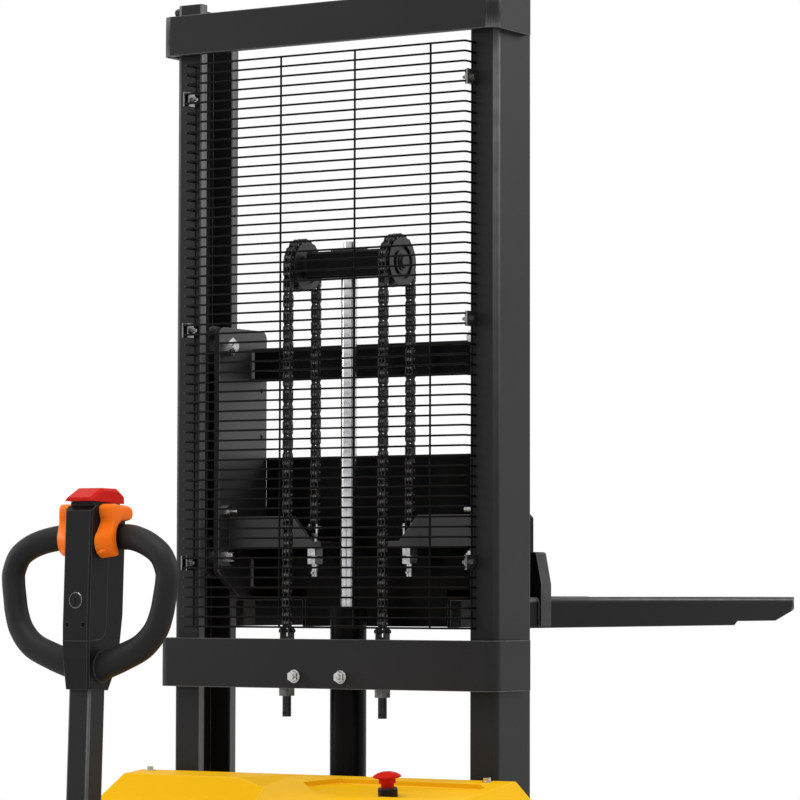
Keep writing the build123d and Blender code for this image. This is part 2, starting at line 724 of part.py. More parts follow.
def mesh_clamp(side, z):
    # A plate on the outside of the mesh's return, an inner washer plate, and the screw with its nut
    inner, outer = MESH_HALF - WIRE / 2, MESH_HALF + WIRE / 2
    high = (z - CLAMP_H / 2, z + CLAMP_H / 2)
    mid = (MESH_Y + CHANNEL_Y) / 2
    clamp = block((outer, outer + CLAMP_T), (MESH_Y, CHANNEL_Y), high)
    clamp += block((inner - CLAMP_T, inner), (MESH_Y + 2 * WIRE, mid + 2 * WIRE), high)
    end = inner - CLAMP_T - CLAMP_SCREW_END
    clamp += bar((end, mid, z), (1, 0, 0), CLAMP_SCREW_R, outer + 1 - end)
    clamp += hexagon((inner - CLAMP_T, mid, z), (-1, 0, 0), CLAMP_NUT_AF, CLAMP_NUT_H)
    clamp += hexagon((outer + CLAMP_T, mid, z), (1, 0, 0), CLAMP_NUT_AF, CLAMP_NUT_H)
    return clamp if side > 0 else flipped(clamp)


def mesh_clamps():
    pieces = []
    for row in CLAMP_ROWS:
        for side in (-1, 1):
            pieces.append(mesh_clamp(side, MESH_Z + row * MESH_PITCH))
    return pieces


def carriage_side():
    y0, y1 = SIDE_Y
    points = [(y0, SIDE_TOP), (y1, SIDE_TOP), (y1, HEEL_Z)]
    cut_y, cut_z = y0 + SIDE_CUT[0], FORK_TOP + SIDE_CUT[1]
    points += [(cut_y, HEEL_Z), (y0, cut_z)]
    plate = prism_x(points, SIDE_IN, SIDE_X)
    top = [e for e in plate.edges().filter_by(Axis.X) if e.center().Z > SIDE_TOP - 1]
    plate = fillet(top, SIDE_ROUND_TOP)
    low = [e for e in plate.edges().filter_by(Axis.X) if e.center().Z < cut_z + 1]
    plate = fillet([e for e in low if e.center().Y < y1 - 1], SIDE_ROUND_LOW)
    for up in SIDE_HOLES_UP:
        plate -= bar((SIDE_IN, y1 - SIDE_HOLE_IN, FORK_TOP + up), (1, 0, 0), SIDE_HOLE_R, SIDE_T)
    for z in ROLLER_Z:
        plate -= bar((SIDE_IN, CHANNEL_MID, z), (1, 0, 0), AXLE_D / 2 + RUN, SIDE_T)
    plate -= bar((SIDE_IN, CHANNEL_MID, ADJUSTER_Z), (1, 0, 0), ADJUSTER_D / 2 + RUN, SIDE_T)
    ledge_x, low_x, high_x = BRACKET_INNER
    z0, z1 = BRACKET_Z
    ledge = block((ledge_x, SIDE_IN), (BRACKET_Y, y1), (z0, z0 + BRACKET_T))
    seam = z0 + BRACKET_T / 2
    face = [(low_x, seam), (high_x, z1), (SIDE_IN, z1), (SIDE_IN, seam)]
    bracket = ledge + prism_y(face, BRACKET_Y, BRACKET_Y + BRACKET_T)
    bracket -= bar((CHAIN_X, FAR_Y, z0), (0, 0, 1), STUD_D / 2 + SLACK, BRACKET_T)
    return plate + bracket


def roller_axles():
    pieces = []
    for side in (-1, 1):
        for z in ROLLER_Z:
            start = (side * SIDE_IN, CHANNEL_MID, z)
            end = ROLLER_X + ROLLER_W + AXLE_SPARE
            axle = bar(start, (side, 0, 0), AXLE_D / 2, end - SIDE_IN)
            collar_r, collar = AXLE_D / 2 + AXLE_COLLAR, ROLLER_X - SIDE_GAP - SIDE_X
            axle += bar((side * SIDE_X, CHANNEL_MID, z), (side, 0, 0), collar_r, collar)
            axle += hexagon(start, (-side, 0, 0), *AXLE_NUT)
            pieces.append(axle + bar(start, (-side, 0, 0), AXLE_END_R, AXLE_REACH))
        start = (side * SIDE_X, CHANNEL_MID, ADJUSTER_Z)
        screw = bar(start, (-side, 0, 0), ADJUSTER_D / 2, SIDE_T + ADJUSTER_REACH)
        nut = hexagon((side * SIDE_IN, CHANNEL_MID, ADJUSTER_Z), (-side, 0, 0), *ADJUSTER_NUT)
        pieces.append(screw + nut)
    return pieces


def mast_roller(side, z):
    r, half, bore = ROLLER_D / 2, ROLLER_W / 2, AXLE_D / 2 + RUN
    inner, step = r - ROLLER_RIM, ROLLER_STEP
    points = [(bore, -half), (inner, -half), (inner, step - half)]
    points += [(r - step, step - half), (r, 2 * step - half)]
    points += [(a, -b) for a, b in reversed(points)]
    return turned(points, (side * (ROLLER_X + half), CHANNEL_MID, z), (1, 0, 0))


def carriage_bar(z):
    body = block((-SIDE_IN, SIDE_IN), (BAR_Y, BAR_Y + BAR_DEPTH), (z, z + BAR_H))
    return fillet(body.edges().filter_by(Axis.X), BAR_ROUND)


def lower_bar():
    z = (FORK_TOP - FORK_SKIRT + LOW_PLATE_FOOT, LOWER_BAR_Z + LOW_PLATE_LAP)
    plate = block((-LOW_PLATE_HALF, LOW_PLATE_HALF), (BAR_Y, BAR_Y + LOW_PLATE_T), z)
    return carriage_bar(LOWER_BAR_Z) + plate


def front_plate():
    wide_z = FORK_TOP + FRONT_WIDE_UP
    right = [(FRONT_WIDE, HEEL_Z), (FRONT_WIDE, wide_z)]
    right += [(FRONT_HALF, wide_z + FRONT_WIDE - FRONT_HALF), (FRONT_HALF, FORK_TOP + FRONT_UP)]
    points = right + [(-x, z) for x, z in reversed(right)]
    return prism_y(points, FRONT_Y, FRONT_Y + FRONT_T)


def fork():
    x0, x1 = FORK_X
    low = FORK_TOP - FORK_SKIRT
    nose_y = FORK_TIP_Y - NOSE_LEN
    side = [(BAR_Y, low), (FORK_STEP_Y, low), (FORK_STEP_Y + FORK_RAMP, low + FORK_STEP)]
    side += [(nose_y, low + FORK_STEP)]
    side += [(FORK_TIP_Y, FORK_TOP - TIP_H), (FORK_TIP_Y, FORK_TOP), (BAR_Y, FORK_TOP)]
    body = prism_x(side, x0, x1)
    body = fillet(body.edges().filter_by(Axis.Y).sort_by(Axis.Z)[-2:], FORK_ROUND)
    plan = make_face(Polyline((x0, BAR_Y), (x1, BAR_Y), (x1, FORK_TIP_Y), (x0, FORK_TIP_Y), close=True))
    plan = fillet([v for v in plan.vertices() if v.Y > FORK_TIP_Y - 1], TIP_ROUND)
    body &= Pos(0, 0, low - 1) * extrude(plan, amount=FORK_SKIRT + 2, dir=(0, 0, 1))
    hollow = [(BAR_Y - 1, low - 1), (nose_y - FORK_NOSE, low - 1)]
    hollow += [(FORK_TIP_Y - TIP_SOLID, FORK_TOP - FORK_T)]
    hollow += [(BAR_Y - 1, FORK_TOP - FORK_T)]
    body -= prism_x(hollow, x0 + FORK_T, x1 - FORK_T)
    # The heel under the carriage is a little lower than the carrying face
    body -= block((x0 - 1, x1 + 1), (BAR_Y - 1, GUSSET_Y[1] + HEEL_SPARE), (HEEL_Z, FORK_TOP + 1))
    return body + gusset()


def gusset():
    # Stiffener from the fork's side up along the front plate, with a sloping outer edge
    root, foot, top = HEEL_Z - FORK_T / 2, FORK_TOP - FORK_SKIRT + GUSSET_FOOT, FORK_TOP + GUSSET_UP
    wall = FORK_X[1] - FORK_T / 2
    points = [(wall, foot), (GUSSET_X, foot), (GUSSET_X, FORK_TOP + GUSSET_SLOPE_UP)]
    points += [(GUSSET_X - GUSSET_SLOPE, top), (FRONT_WIDE, top), (FRONT_WIDE, root), (wall, root)]
    body = prism_y(points, *GUSSET_Y)
    corner = body.edges().filter_by(Axis.Y).group_by(Axis.Z)[-1].sort_by(Axis.X)[-1]
    return fillet(corner, GUSSET_ROUND)


def leg():
    x0, x1 = LEG_X
    z0, z1 = LEG_Z
    body = block((x0, x1), (BASE_Y[1], LEG_END_Y), (z0, z1))
    ends = [e for e in body.edges().filter_by(Axis.X) if e.center().Y > LEG_END_Y - 1]
    body = fillet(ends, LEG_NOSE_R)
    body -= block((x0 + LEG_T, x1 - LEG_T), (BASE_Y[1] + LEG_T, LEG_END_Y + 1), (z0 - 1, z1 - LEG_T))
    bay = LOAD_WHEEL_Y - LOAD_WHEEL_D / 2 - LEG_BAY
    body -= block((x0 + LEG_T, x1 - LEG_T), (bay, LEG_END_Y + 1), (z0 - 1, z1 + 1))
    return body - bar((x0, LOAD_WHEEL_Y, LOAD_WHEEL_D / 2), (1, 0, 0), LOAD_AXLE_D / 2 + RUN, x1 - x0)


def load_axle():
    start = (LEG_X[0] - LOAD_AXLE_END, LOAD_WHEEL_Y, LOAD_WHEEL_D / 2)
    return bar(start, (1, 0, 0), LOAD_AXLE_D / 2, LEG_X[1] - LEG_X[0] + 2 * LOAD_AXLE_END)


def wheel(diameter, width, bore, start, tread):
    r, half = diameter / 2, width / 2
    hub, dish, side, edge = bore + WHEEL_HUB, WHEEL_DISH - half, TREAD_SIDE - half, TREAD_EDGE
    points = [(bore, -half), (hub, -half), (hub, dish), (r - tread, dish)]
    points += [(r - tread, side), (r - edge, side), (r, side + edge)]
    points += [(a, -b) for a, b in reversed(points)]
    return turned(points, start, (1, 0, 0))


def load_wheel(side):
    start = (side * LEG_MID, LOAD_WHEEL_Y, LOAD_WHEEL_D / 2)
    return wheel(LOAD_WHEEL_D, LOAD_WHEEL_W, LOAD_AXLE_D / 2 + RUN, start, LOAD_TREAD)


def base_frame():
    z0, z1 = BASE_Z
    frame = block((-BASE_X, BASE_X), BASE_Y, (z0, z1))
    inside = (BASE_Y[0] + BASE_T, BASE_Y[1] - BASE_T)
    frame -= block((BASE_T - BASE_X, BASE_X - BASE_T), inside, (z0 - 1, z1 - BASE_T))
    frame += block((-TRAY_X, TRAY_X), (BULKHEAD_Y, TRAY_FRONT), (z1, TRAY_FLOOR))
    frame += block((-TRAY_X, TRAY_X), (TRAY_FRONT - TRAY_T, TRAY_FRONT), (z1, TRAY_TOP))
    frame += block((-TRAY_X, TRAY_X), (BULKHEAD_Y, BULKHEAD_Y + TRAY_T), (z1, TRAY_TOP))
    for side in (-1, 1):
        wall = (side * TRAY_X, side * (TRAY_X - TRAY_T))
        frame += block(wall, (DECK_REAR + DECK_ROUND, TRAY_FRONT), (z1, TRAY_TOP))
    deck = block((-TRAY_X, TRAY_X), (DECK_REAR, BULKHEAD_Y), (TRAY_TOP - DECK_T, TRAY_TOP))
    corners = [e for e in deck.edges().filter_by(Axis.Z) if e.center().Y < DECK_REAR + 1]
    frame += fillet(corners, DECK_ROUND)
    frame -= bar((0, STEER_Y, z1), (0, 0, 1), NECK_R + RUN, TRAY_TOP)
    for side in (-1, 1):
        x = side * CASTOR_X
        y, inner = (CASTOR_Y - POD_HALF, CASTOR_Y + POD_HALF), POD_HALF - POD_T
        pod = block((x - POD_HALF, x + POD_HALF), y, (POD_Z, TRAY_TOP - DECK_T))
        pod -= block((x - inner, x + inner), y, (POD_Z + POD_FLOOR, TRAY_TOP - DECK_T))
        frame += pod
        frame -= bar((x, CASTOR_Y, POD_Z), (0, 0, 1), CASTOR_PIN_D / 2 + RUN, POD_FLOOR)
    return frame


def drive_turret():
    axle_z, top = DRIVE_D / 2, TRAY_TOP + SIDE_GAP
    under = DRIVE_D + YOKE_OVER
    turret = bar((0, STEER_Y, top), (0, 0, 1), TURN_R, TURN_H)
    turret += bar((0, STEER_Y, under), (0, 0, 1), NECK_R, top - under)
    outer, long = DRIVE_W / 2 + YOKE_GAP + YOKE_T, (STEER_Y - YOKE_R, STEER_Y + YOKE_R)
    turret += block((-outer, outer), long, (under, under + YOKE_TOP))
    for side in (-1, 1):
        cheek = block((0, side * YOKE_T), long, (axle_z, under + 1))
        cheek += bar((0, STEER_Y, axle_z), (side, 0, 0), YOKE_R, YOKE_T)
        turret += Pos(side * (outer - YOKE_T), 0, 0) * cheek
    turret -= bar((-outer, STEER_Y, axle_z), (1, 0, 0), SHAFT_D / 2 + RUN, 2 * outer)
    z = top + TURN_H
    shelf_y = (PIVOT_Y - EAR_FOOT - EAR_SHELF_IN, STEER_Y - EAR_SHELF_LAP)
    turret += block((-EAR_SHELF_HALF, EAR_SHELF_HALF), shelf_y, (z - 1, z + EAR_SHELF_T))
    tip = PIVOT_Z + EAR_UP
    ear = [(PIVOT_Y - EAR_FOOT, z), (PIVOT_Y + EAR_FOOT, z)]
    ear += [(PIVOT_Y + EAR_HEAD, tip), (PIVOT_Y - EAR_HEAD, tip)]
    for x in (-EAR_X - EAR_T, EAR_X):
        turret += prism_x(ear, x, x + EAR_T)
    ear_out = EAR_X + EAR_T
    return turret - bar((-ear_out, PIVOT_Y, PIVOT_Z), (1, 0, 0), PIVOT_D / 2 + RUN, 2 * ear_out)


def drive_motor():
    z = TRAY_TOP + SIDE_GAP + TURN_H
    r = MOTOR_D / 2
    cap_z, cap_r = MOTOR_H - MOTOR_CAP, r - MOTOR_STEP
    points = [(0, 0), (r, 0), (r, cap_z), (cap_r, cap_z)]
    points += [(cap_r, MOTOR_H - MOTOR_DOME[1]), (cap_r - MOTOR_DOME[0], MOTOR_H), (0, MOTOR_H)]
    return turned(points, (0, STEER_Y + MOTOR_SHIFT, z), (0, 0, 1))


def drive_wheel():
    start = (0, STEER_Y, DRIVE_D / 2)
    reach = DRIVE_W / 2 + YOKE_GAP + YOKE_T + SHAFT_END
    shaft = bar((-reach, STEER_Y, DRIVE_D / 2), (1, 0, 0), SHAFT_D / 2, 2 * reach)
    return wheel(DRIVE_D, DRIVE_W, SHAFT_D / 2, start, DRIVE_TREAD) + shaft


def castor_fork(side):
    x, y = side * CASTOR_X, CASTOR_Y
    top = POD_Z - SIDE_GAP
    inner, half, thick = CASTOR_W / 2 + CASTOR_GAP, CASTOR_TOP[0], CASTOR_TOP[1]
    outer = inner + CASTOR_PLATE
    fork_part = block((x - outer, x + outer), (y - half, y + half), (top - thick, top))
    fork_part += bar((x, y, top - 1), (0, 0, 1), CASTOR_PIN_D / 2, POD_FLOOR + CASTOR_PIN_UP)
    axle_y, axle_z, seam = y + CASTOR_TRAIL, CASTOR_D / 2, top - thick / 2
    cheek = [(y - half, seam), (y + half, seam), (axle_y + CASTOR_EYE, axle_z)]
    cheek += [(axle_y, axle_z + 1 - CASTOR_EYE), (axle_y - CASTOR_EYE, axle_z)]
    for a in (x - outer, x + inner):
        fork_part += prism_x(cheek, a, a + CASTOR_PLATE)
    return fork_part + bar((x - inner - 1, axle_y, axle_z), (1, 0, 0), CASTOR_AXLE_R, 2 * inner + 2)


def castor_wheel(side):
    start = (side * CASTOR_X, CASTOR_Y + CASTOR_TRAIL, CASTOR_D / 2)
    return wheel(CASTOR_D, CASTOR_W, CASTOR_AXLE_R + RUN, start, CASTOR_TREAD)


def slope_z(y):
    return HOOD_TOP - (HOOD_Y[1] - y) * SLOPE_TAN


def shaved(body, point, normal, inset):
    # Takes off what lies over a plane, which is moved in by the inset
    away = Plane(origin=point, z_dir=normal) * Pos(0, 0, SPAN / 2 - inset)
    return body - away * Box(2 * SPAN, 2 * SPAN, SPAN)


def valley():
    # Lowest corner between the flat strip and the sloping panel, and the facet that leads to it
    left_x, far_x, low_x = VALLEY_X
    low = Vector(low_x, STRIP_NEAR, slope_z(STRIP_NEAR))
    left = Vector(left_x, STRIP_NEAR, HOOD_TOP)
    far = Vector(far_x, HOOD_Y[1], HOOD_TOP)
    normal = (low - left).cross(far - left)
    return low, normal if normal.Z > 0 else -normal


def hood_form(inset):
    y0, y1 = HOOD_Y
    low = TRAY_TOP - (1 if inset else 0)
    half = HOOD_X - inset
    body = block((-half, half), (y0 + inset, y1 - inset), (low, HOOD_TOP - inset))
    corner = (STRIP_LEFT[1], STRIP_NEAR, HOOD_TOP)
    strip_len = y1 - STRIP_NEAR
    taper = STRIP_LEFT[1] - STRIP_LEFT[0]
    left = shaved(body, corner, (-strip_len, -taper, math.hypot(strip_len, taper)), inset)
    left = shaved(left, corner, (0, TRAY_TOP - HOOD_TOP, STRIP_NEAR - y0), inset)
    dip, facet = valley()
    left = shaved(left, dip, facet, inset)
    tilt = math.radians(SHOULDER_TILT)
    run = math.hypot(1, SHOULDER_RUN) / math.cos(tilt)
    right = shaved(body, (0, y1, HOOD_TOP), (0, -SLOPE_TAN, 1), inset)
    right = shaved(right, (HOOD_X - HOOD_CHAMFER, y1, HOOD_TOP), (1, 0, 1), inset)
    right = shaved(right, dip, (-1 / run, -SHOULDER_RUN / run, math.sin(tilt)), inset)
    back = HOOD_BACK_Y
    right = shaved(right, (0, y0, TRAY_TOP), (0, TRAY_TOP - slope_z(back), back - y0), inset)
    return left + right


def slope_place():
    return Location((0, HOOD_Y[1], HOOD_TOP), (HOOD_SLOPE, 0, 0))


def pocket(grow):
    # Sunk many-sided field round the emergency stop, grown on all sides for its underside
    tilt = math.cos(math.radians(HOOD_SLOPE))
    points = [(x, (y - HOOD_Y[1]) / tilt) for x, y in POCKET]
    face = make_face(Polyline(*points, close=True))
    if grow:
        face = offset(face, amount=grow, kind=Kind.INTERSECTION)
    deep = POCKET_DEEP + grow
    return slope_place() * Pos(0, 0, -deep) * extrude(face, amount=deep + 2 * HOOD_T, dir=(0, 0, 1))


def estop_seat():
    # Middle of the pocket floor under the emergency stop, and the direction square to it
    tilt = math.radians(HOOD_SLOPE)
    up = (0, -math.sin(tilt), math.cos(tilt))
    seat = (ESTOP_X, ESTOP_Y - POCKET_DEEP * up[1], slope_z(ESTOP_Y) - POCKET_DEEP * up[2])
    return seat, up


def hood():
    hollow = hood_form(HOOD_T) - pocket(HOOD_T)
    return hood_form(0) - pocket(0) - hollow


def hood_screw(point, direction):
    return bar(point, direction, *HOOD_WASHER) + hexagon(point, direction, *HOOD_SCREW)


def hood_screws():
    x, y = RIGHT_SCREW
    seat, up = estop_seat()
    right = hood_screw((x, y, slope_z(y)), up)
    return hood_screw((*LEFT_SCREW, HOOD_TOP), (0, 0, 1)), right


def estop_base():
    seat, up = estop_seat()
    bore, r, h, edge = ESTOP_STEM + RUN, ESTOP_STEM + ESTOP_COLLAR, ESTOP_BASE_H, ESTOP_EDGE
    return turned([(bore, 0), (r, 0), (r, h - edge), (r - edge / 2, h), (bore, h)], seat, up)


def estop_button():
    seat, up = estop_seat()
    low, neck = ESTOP_TRAVEL + 1, ESTOP_BASE_H + ESTOP_TRAVEL + ESTOP_EDGE
    step = ESTOP_STEM + ESTOP_NECK[0]
    points = [(0, low), (ESTOP_STEM, low), (ESTOP_STEM, neck), (step, neck), (step, neck + ESTOP_NECK[1])]
    points += [(share * ESTOP_R, neck + z) for share, z in ESTOP_CAP]
    return turned(points, seat, up)


def battery():
    pieces = []
    top = TRAY_FLOOR + BATTERY_H
    for side in (-1, 1):
        x = (side * BATTERY_X[0], side * BATTERY_X[1])
        body = block(x, BATTERY_Y, (TRAY_FLOOR, top))
        for post in (BATTERY_X[0] + POST_IN[0], BATTERY_X[1] - POST_IN[0]):
            body += bar((side * post, BATTERY_Y[1] - POST_IN[1], top), (0, 0, 1), *POST)
        pieces.append(body)
    return pieces


def power_pack():
    x, y = (TANK_X[0] + TANK_X[1]) / 2, (TANK_Y[0] + TANK_Y[1]) / 2
    tank_top = TRAY_FLOOR + TANK_H
    tank = block(TANK_X, TANK_Y, (TRAY_FLOOR, tank_top))
    tank = fillet(tank.edges().filter_by(Axis.Z), TANK_ROUND)
    h = VALVE_HALF
    valve = block((x - h, x + h), (y - h, y + h), (tank_top, tank_top + VALVE_H))
    motor = bar((x, y, tank_top + VALVE_H), (0, 0, 1), PUMP_MOTOR_R, PUMP_MOTOR_H)
    return tank, valve, motor


def controller():
    y0 = BULKHEAD_Y + TRAY_T
    y1 = y0 + CONTROL_T
    box = block(CONTROL_X, (y0, y1), CONTROL_Z)
    pitch = (CONTROL_X[1] - CONTROL_X[0]) / FINS
    for k in range(FINS):
        x, half = CONTROL_X[0] + (k + 0.5) * pitch, FIN_SHARE * pitch / 2
        fin_z = (CONTROL_Z[0] + FIN_END, CONTROL_Z[1] - FIN_END)
        box += block((x - half, x + half), (y1 - 1, y1 + FIN_DEEP), fin_z)
    return box


def tiller_place():
    return Pos(0, PIVOT_Y, PIVOT_Z) * Rot(-TILLER_LEAN, 0, 0) * Pos(0, 0, -PIVOT_Z)


def tiller_arm():
    # Built upright over the pivot, then leaned
    half = ARM_W / 2
    arm = block((-half, half), (-half, half), (PIVOT_Z, ARM_END_Z))
    arm = fillet(arm.edges().filter_by(Axis.Z), ARM_ROUND)
    inner = half - ARM_WALL
    arm -= block((-inner, inner), (-inner, inner), (PIVOT_Z + ARM_ROOT, ARM_END_Z + 1))
    arm += bar((-half, 0, PIVOT_Z), (1, 0, 0), half, ARM_W)
    boss_r, boss = ARM_BOSS[0], half + ARM_BOSS[1]
    arm += bar((-boss, 0, PIVOT_Z), (1, 0, 0), boss_r, 2 * boss)
    pin = half + PIVOT_REACH
    return arm + bar((-pin, 0, PIVOT_Z), (1, 0, 0), PIVOT_D / 2, 2 * pin)


def tiller_head():
    y0, y1 = COLUMN_Y
    z0, z1 = COLUMN_Z
    side = [(y0 + y, z0 + z) for y, z in COLUMN_REAR] + [(y1 + y, z0 + z) for y, z in COLUMN_FRONT]
    body = prism_x(side, -COLUMN_HALF, COLUMN_HALF)
    waist, waist_z = COLUMN_HALF - COLUMN_WAIST[0], z0 + COLUMN_WAIST[1]
    right = [(waist, z0), (COLUMN_HALF, waist_z), (COLUMN_HALF, z1)]
    body &= prism_y(right + [(-x, z) for x, z in reversed(right)], y0 - 1, y1 + 1)
    rear = [e for e in body.edges() if abs(e.center().Y - y0) < 0.5]
    body = chamfer([e for e in rear if abs(abs(e.center().X) - COLUMN_HALF) < 0.5], COLUMN_EDGE)
    inner = ARM_W / 2 + SLACK
    body -= block((-inner, inner), (-inner, inner), (z0 - 1, ARM_END_Z))
    body -= bar((-COLUMN_HALF, BUTTERFLY_Y, BUTTERFLY_Z), (1, 0, 0), BUTTERFLY_R + RUN, 2 * COLUMN_HALF)
    body -= bar((0, y0, KEY_Z), (0, 1, 0), KEY_R + RUN, KEY_DEEP)
    for x in (-HOLE_X, HOLE_X):
        body -= bar((x, y0, HOLE_Z), (0, 1, 0), *HOLE)
    half, deep, high = ROCKER_ROOM
    body -= block((-half, half), (y1 - deep, y1 + 1), (ROCKER_Z - high, ROCKER_Z + high))
    pivot = ROCKER_PIN[1] + COLLAR_GAP
    body -= bar((-pivot, y1 - ROCKER_DEEP, ROCKER_Z), (1, 0, 0), ROCKER_PIN[0] + RUN, 2 * pivot)
    collar_x, collar_y = belly_collar(0)
    body += block(collar_x, collar_y, (z1 - 1, z1 + COLLAR_H))
    stem_x, stem_y = belly_stem(SIDE_GAP)
    return body - block(stem_x, stem_y, (z1 - BELLY_TRAVEL - 1, z1 + COLLAR_H + 1))


def belly_collar(gap):
    y0, y1 = COLUMN_Y
    half, end = COLUMN_HALF - COLLAR_IN + gap, COLLAR_END - gap
    return (-half, half), (y0 + end, y1 - end)


def belly_stem(gap):
    y0, y1 = COLUMN_Y
    half = STEM_HALF + gap
    return (-half, half), (y0 + STEM_IN[0] - gap, y1 - STEM_IN[1] + gap)


def tiller_grip():
    path = FilletPolyline(*GRIP_PATH, radius=GRIP_BEND)
    tube = sweep(Plane(origin=path @ 0, z_dir=path % 0) * Circle(GRIP_R), path=path)
    return (tube - tiller_head()).solids().sort_by(SortBy.VOLUME)[-1]


def belly_button():
    z = COLUMN_Z[1]
    y0, y1 = COLUMN_Y
    points = [(y0 + y, z + up) for y, up in BELLY_REAR] + [(y1 + y, z + up) for y, up in BELLY_FRONT]
    half = COLUMN_HALF - BELLY_IN
    cap = prism_x(points, -half, half)
    high = z + BELLY_REAR[1][1]
    rim = [e for e in cap.edges() if e.center().Z > high and abs(e.center().X) > half - 1]
    cap = chamfer(rim, BELLY_EDGE)
    cavity_x, cavity_y = belly_collar(COLLAR_GAP)
    roof = z + COLLAR_H + BELLY_TRAVEL + 1
    cap -= block(cavity_x, cavity_y, (z, roof))
    stem_x, stem_y = belly_stem(0)
    return cap + block(stem_x, stem_y, (z, roof + 1))


def butterfly():
    wing = [(BUTTERFLY_Y + y, BUTTERFLY_Z + z) for y, z in WING]
    gap = COLUMN_HALF + SIDE_GAP
    body = bar((-gap - 1, BUTTERFLY_Y, BUTTERFLY_Z), (1, 0, 0), BUTTERFLY_R, 2 * gap + 2)
    for x in (-gap - BUTTERFLY_T, gap):
        body += prism_x(wing, x, x + BUTTERFLY_T)
    return body


def key_switch():
    y0 = COLUMN_Y[0]
    body = bar((0, y0 + KEY_DEEP - KEY_BACK, KEY_Z), (0, -1, 0), KEY_R, KEY_DEEP - KEY_BACK + KEY_OUT)
    half, deep, high = KEY_SLOT
    return body - block((-half, half), (y0 - 2 * KEY_OUT, y0 + deep), (KEY_Z - high, KEY_Z + high))


def lift_rocker():
    y1 = COLUMN_Y[1]
    points = [(y1 + y, ROCKER_Z + z) for y, z in ROCKER_SIDE]
    pin_r, reach = ROCKER_PIN
    pin = bar((-reach, y1 - ROCKER_DEEP, ROCKER_Z), (1, 0, 0), pin_r, 2 * reach)
    return prism_x(points, -ROCKER_HALF, ROCKER_HALF) + pin


def make_chassis():
    save("base_frame", base_frame())
    right_leg, right_upright = leg(), upright()
    save("leg_right", right_leg)
    save("leg_left", flipped(right_leg))
    save("load_wheel_axles", load_axle(), flipped(load_axle()))
    save("upright_right", right_upright)
    save("upright_left", flipped(right_upright))
    save("top_beam", bent_beam(TOP_BEAM_Z, TOP_BEAM_H))
    save("lower_beam", lower_beam())
    save("lift_cylinder", cylinder_tube())
    save("cylinder_gland", cylinder_gland())
    save("cylinder_saddle", saddle())
    save("mast_bolts", *saddle_bolts(), *top_screws())
    save("mesh_guard", *mesh_guard())
    save("mesh_clamps", *mesh_clamps())
    save("mast_chain_anchors", *both_anchors(NEAR_Y, NEAR_PIN_Z, LOW_BEAM_Z, 1))
    save("chain_near_runs", *near_run(-CHAIN_X), *near_run(CHAIN_X))
    save("hood", hood())
    save("hood_screws", *hood_screws())
    save("estop_base", estop_base())
    save("battery", *battery())
    save("power_pack", *power_pack())
    save("controller", controller())


def make_lift():
    save("piston_rod", piston_rod())
    save("crosshead", crosshead())
    save("rod_end_plate", rod_end_plate())
    save("chain_wheel_pins", wheel_pin(-1), wheel_pin(1))
    save("chain_wraps", *chain_wrap(-CHAIN_X), *chain_wrap(CHAIN_X))
    save("chain_wheel_left", chain_wheel(-1))
    save("chain_wheel_right", chain_wheel(1))


def make_carriage():
    right_side, right_fork = carriage_side(), fork()
    save("carriage_side_right", right_side)
    save("carriage_side_left", flipped(right_side))
    save("carriage_upper_bar", carriage_bar(UPPER_BAR_Z))
    save("carriage_lower_bar", lower_bar())
    save("carriage_front_plate", front_plate())
    save("fork_right", right_fork)
    save("fork_left", flipped(right_fork))
    save("roller_axles", *roller_axles())
    save("carriage_chain_anchors", *both_anchors(FAR_Y, FAR_PIN_Z, BRACKET_Z[0], 2))
    save("chain_far_runs", *far_run(-CHAIN_X), *far_run(CHAIN_X))
    for side, word in ((-1, "left"), (1, "right")):
        for z, level in zip(ROLLER_Z, ("lower", "upper")):
            save(f"mast_roller_{level}_{word}", mast_roller(side, z))


def make_drive():
    save("drive_turret", drive_turret())
    save("drive_motor", drive_motor())
    save("drive_wheel", drive_wheel())
    for side, word in ((-1, "left"), (1, "right")):
        save(f"castor_fork_{word}", castor_fork(side))
        save(f"castor_wheel_{word}", castor_wheel(side))
        save(f"load_wheel_{word}", load_wheel(side))
    save("estop_button", estop_button())


def make_tiller():
    place = tiller_place()
    grip = tiller_grip()
    save("tiller_arm", place * tiller_arm())
    save("tiller_head", place * tiller_head())
    save("tiller_grips", place * grip, place * flipped(grip))
    save("belly_button", place * belly_button())
    save("butterfly", place * butterfly())
    save("key_switch", place * key_switch())
    save("lift_rocker", place * lift_rocker())


make_chassis()
make_lift()
make_carriage()
make_drive()
make_tiller()
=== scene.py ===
import json
import math

import bpy
from mathutils import Matrix, Vector


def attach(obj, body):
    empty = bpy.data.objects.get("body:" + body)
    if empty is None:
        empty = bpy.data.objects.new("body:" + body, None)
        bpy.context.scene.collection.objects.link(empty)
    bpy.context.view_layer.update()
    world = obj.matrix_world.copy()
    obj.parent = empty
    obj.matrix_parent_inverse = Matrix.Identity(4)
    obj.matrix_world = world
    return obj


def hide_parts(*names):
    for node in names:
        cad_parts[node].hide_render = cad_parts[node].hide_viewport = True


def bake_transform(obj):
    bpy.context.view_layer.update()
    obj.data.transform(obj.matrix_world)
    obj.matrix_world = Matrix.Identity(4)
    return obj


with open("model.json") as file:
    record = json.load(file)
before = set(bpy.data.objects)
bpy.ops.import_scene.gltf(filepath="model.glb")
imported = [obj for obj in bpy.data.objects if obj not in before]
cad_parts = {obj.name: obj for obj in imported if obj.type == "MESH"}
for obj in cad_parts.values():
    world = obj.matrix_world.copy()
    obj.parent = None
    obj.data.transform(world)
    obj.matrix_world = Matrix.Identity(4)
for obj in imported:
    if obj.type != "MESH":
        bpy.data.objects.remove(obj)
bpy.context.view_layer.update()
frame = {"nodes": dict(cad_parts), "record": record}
nodes = frame["nodes"]
scene = bpy.context.scene
MM = 0.001

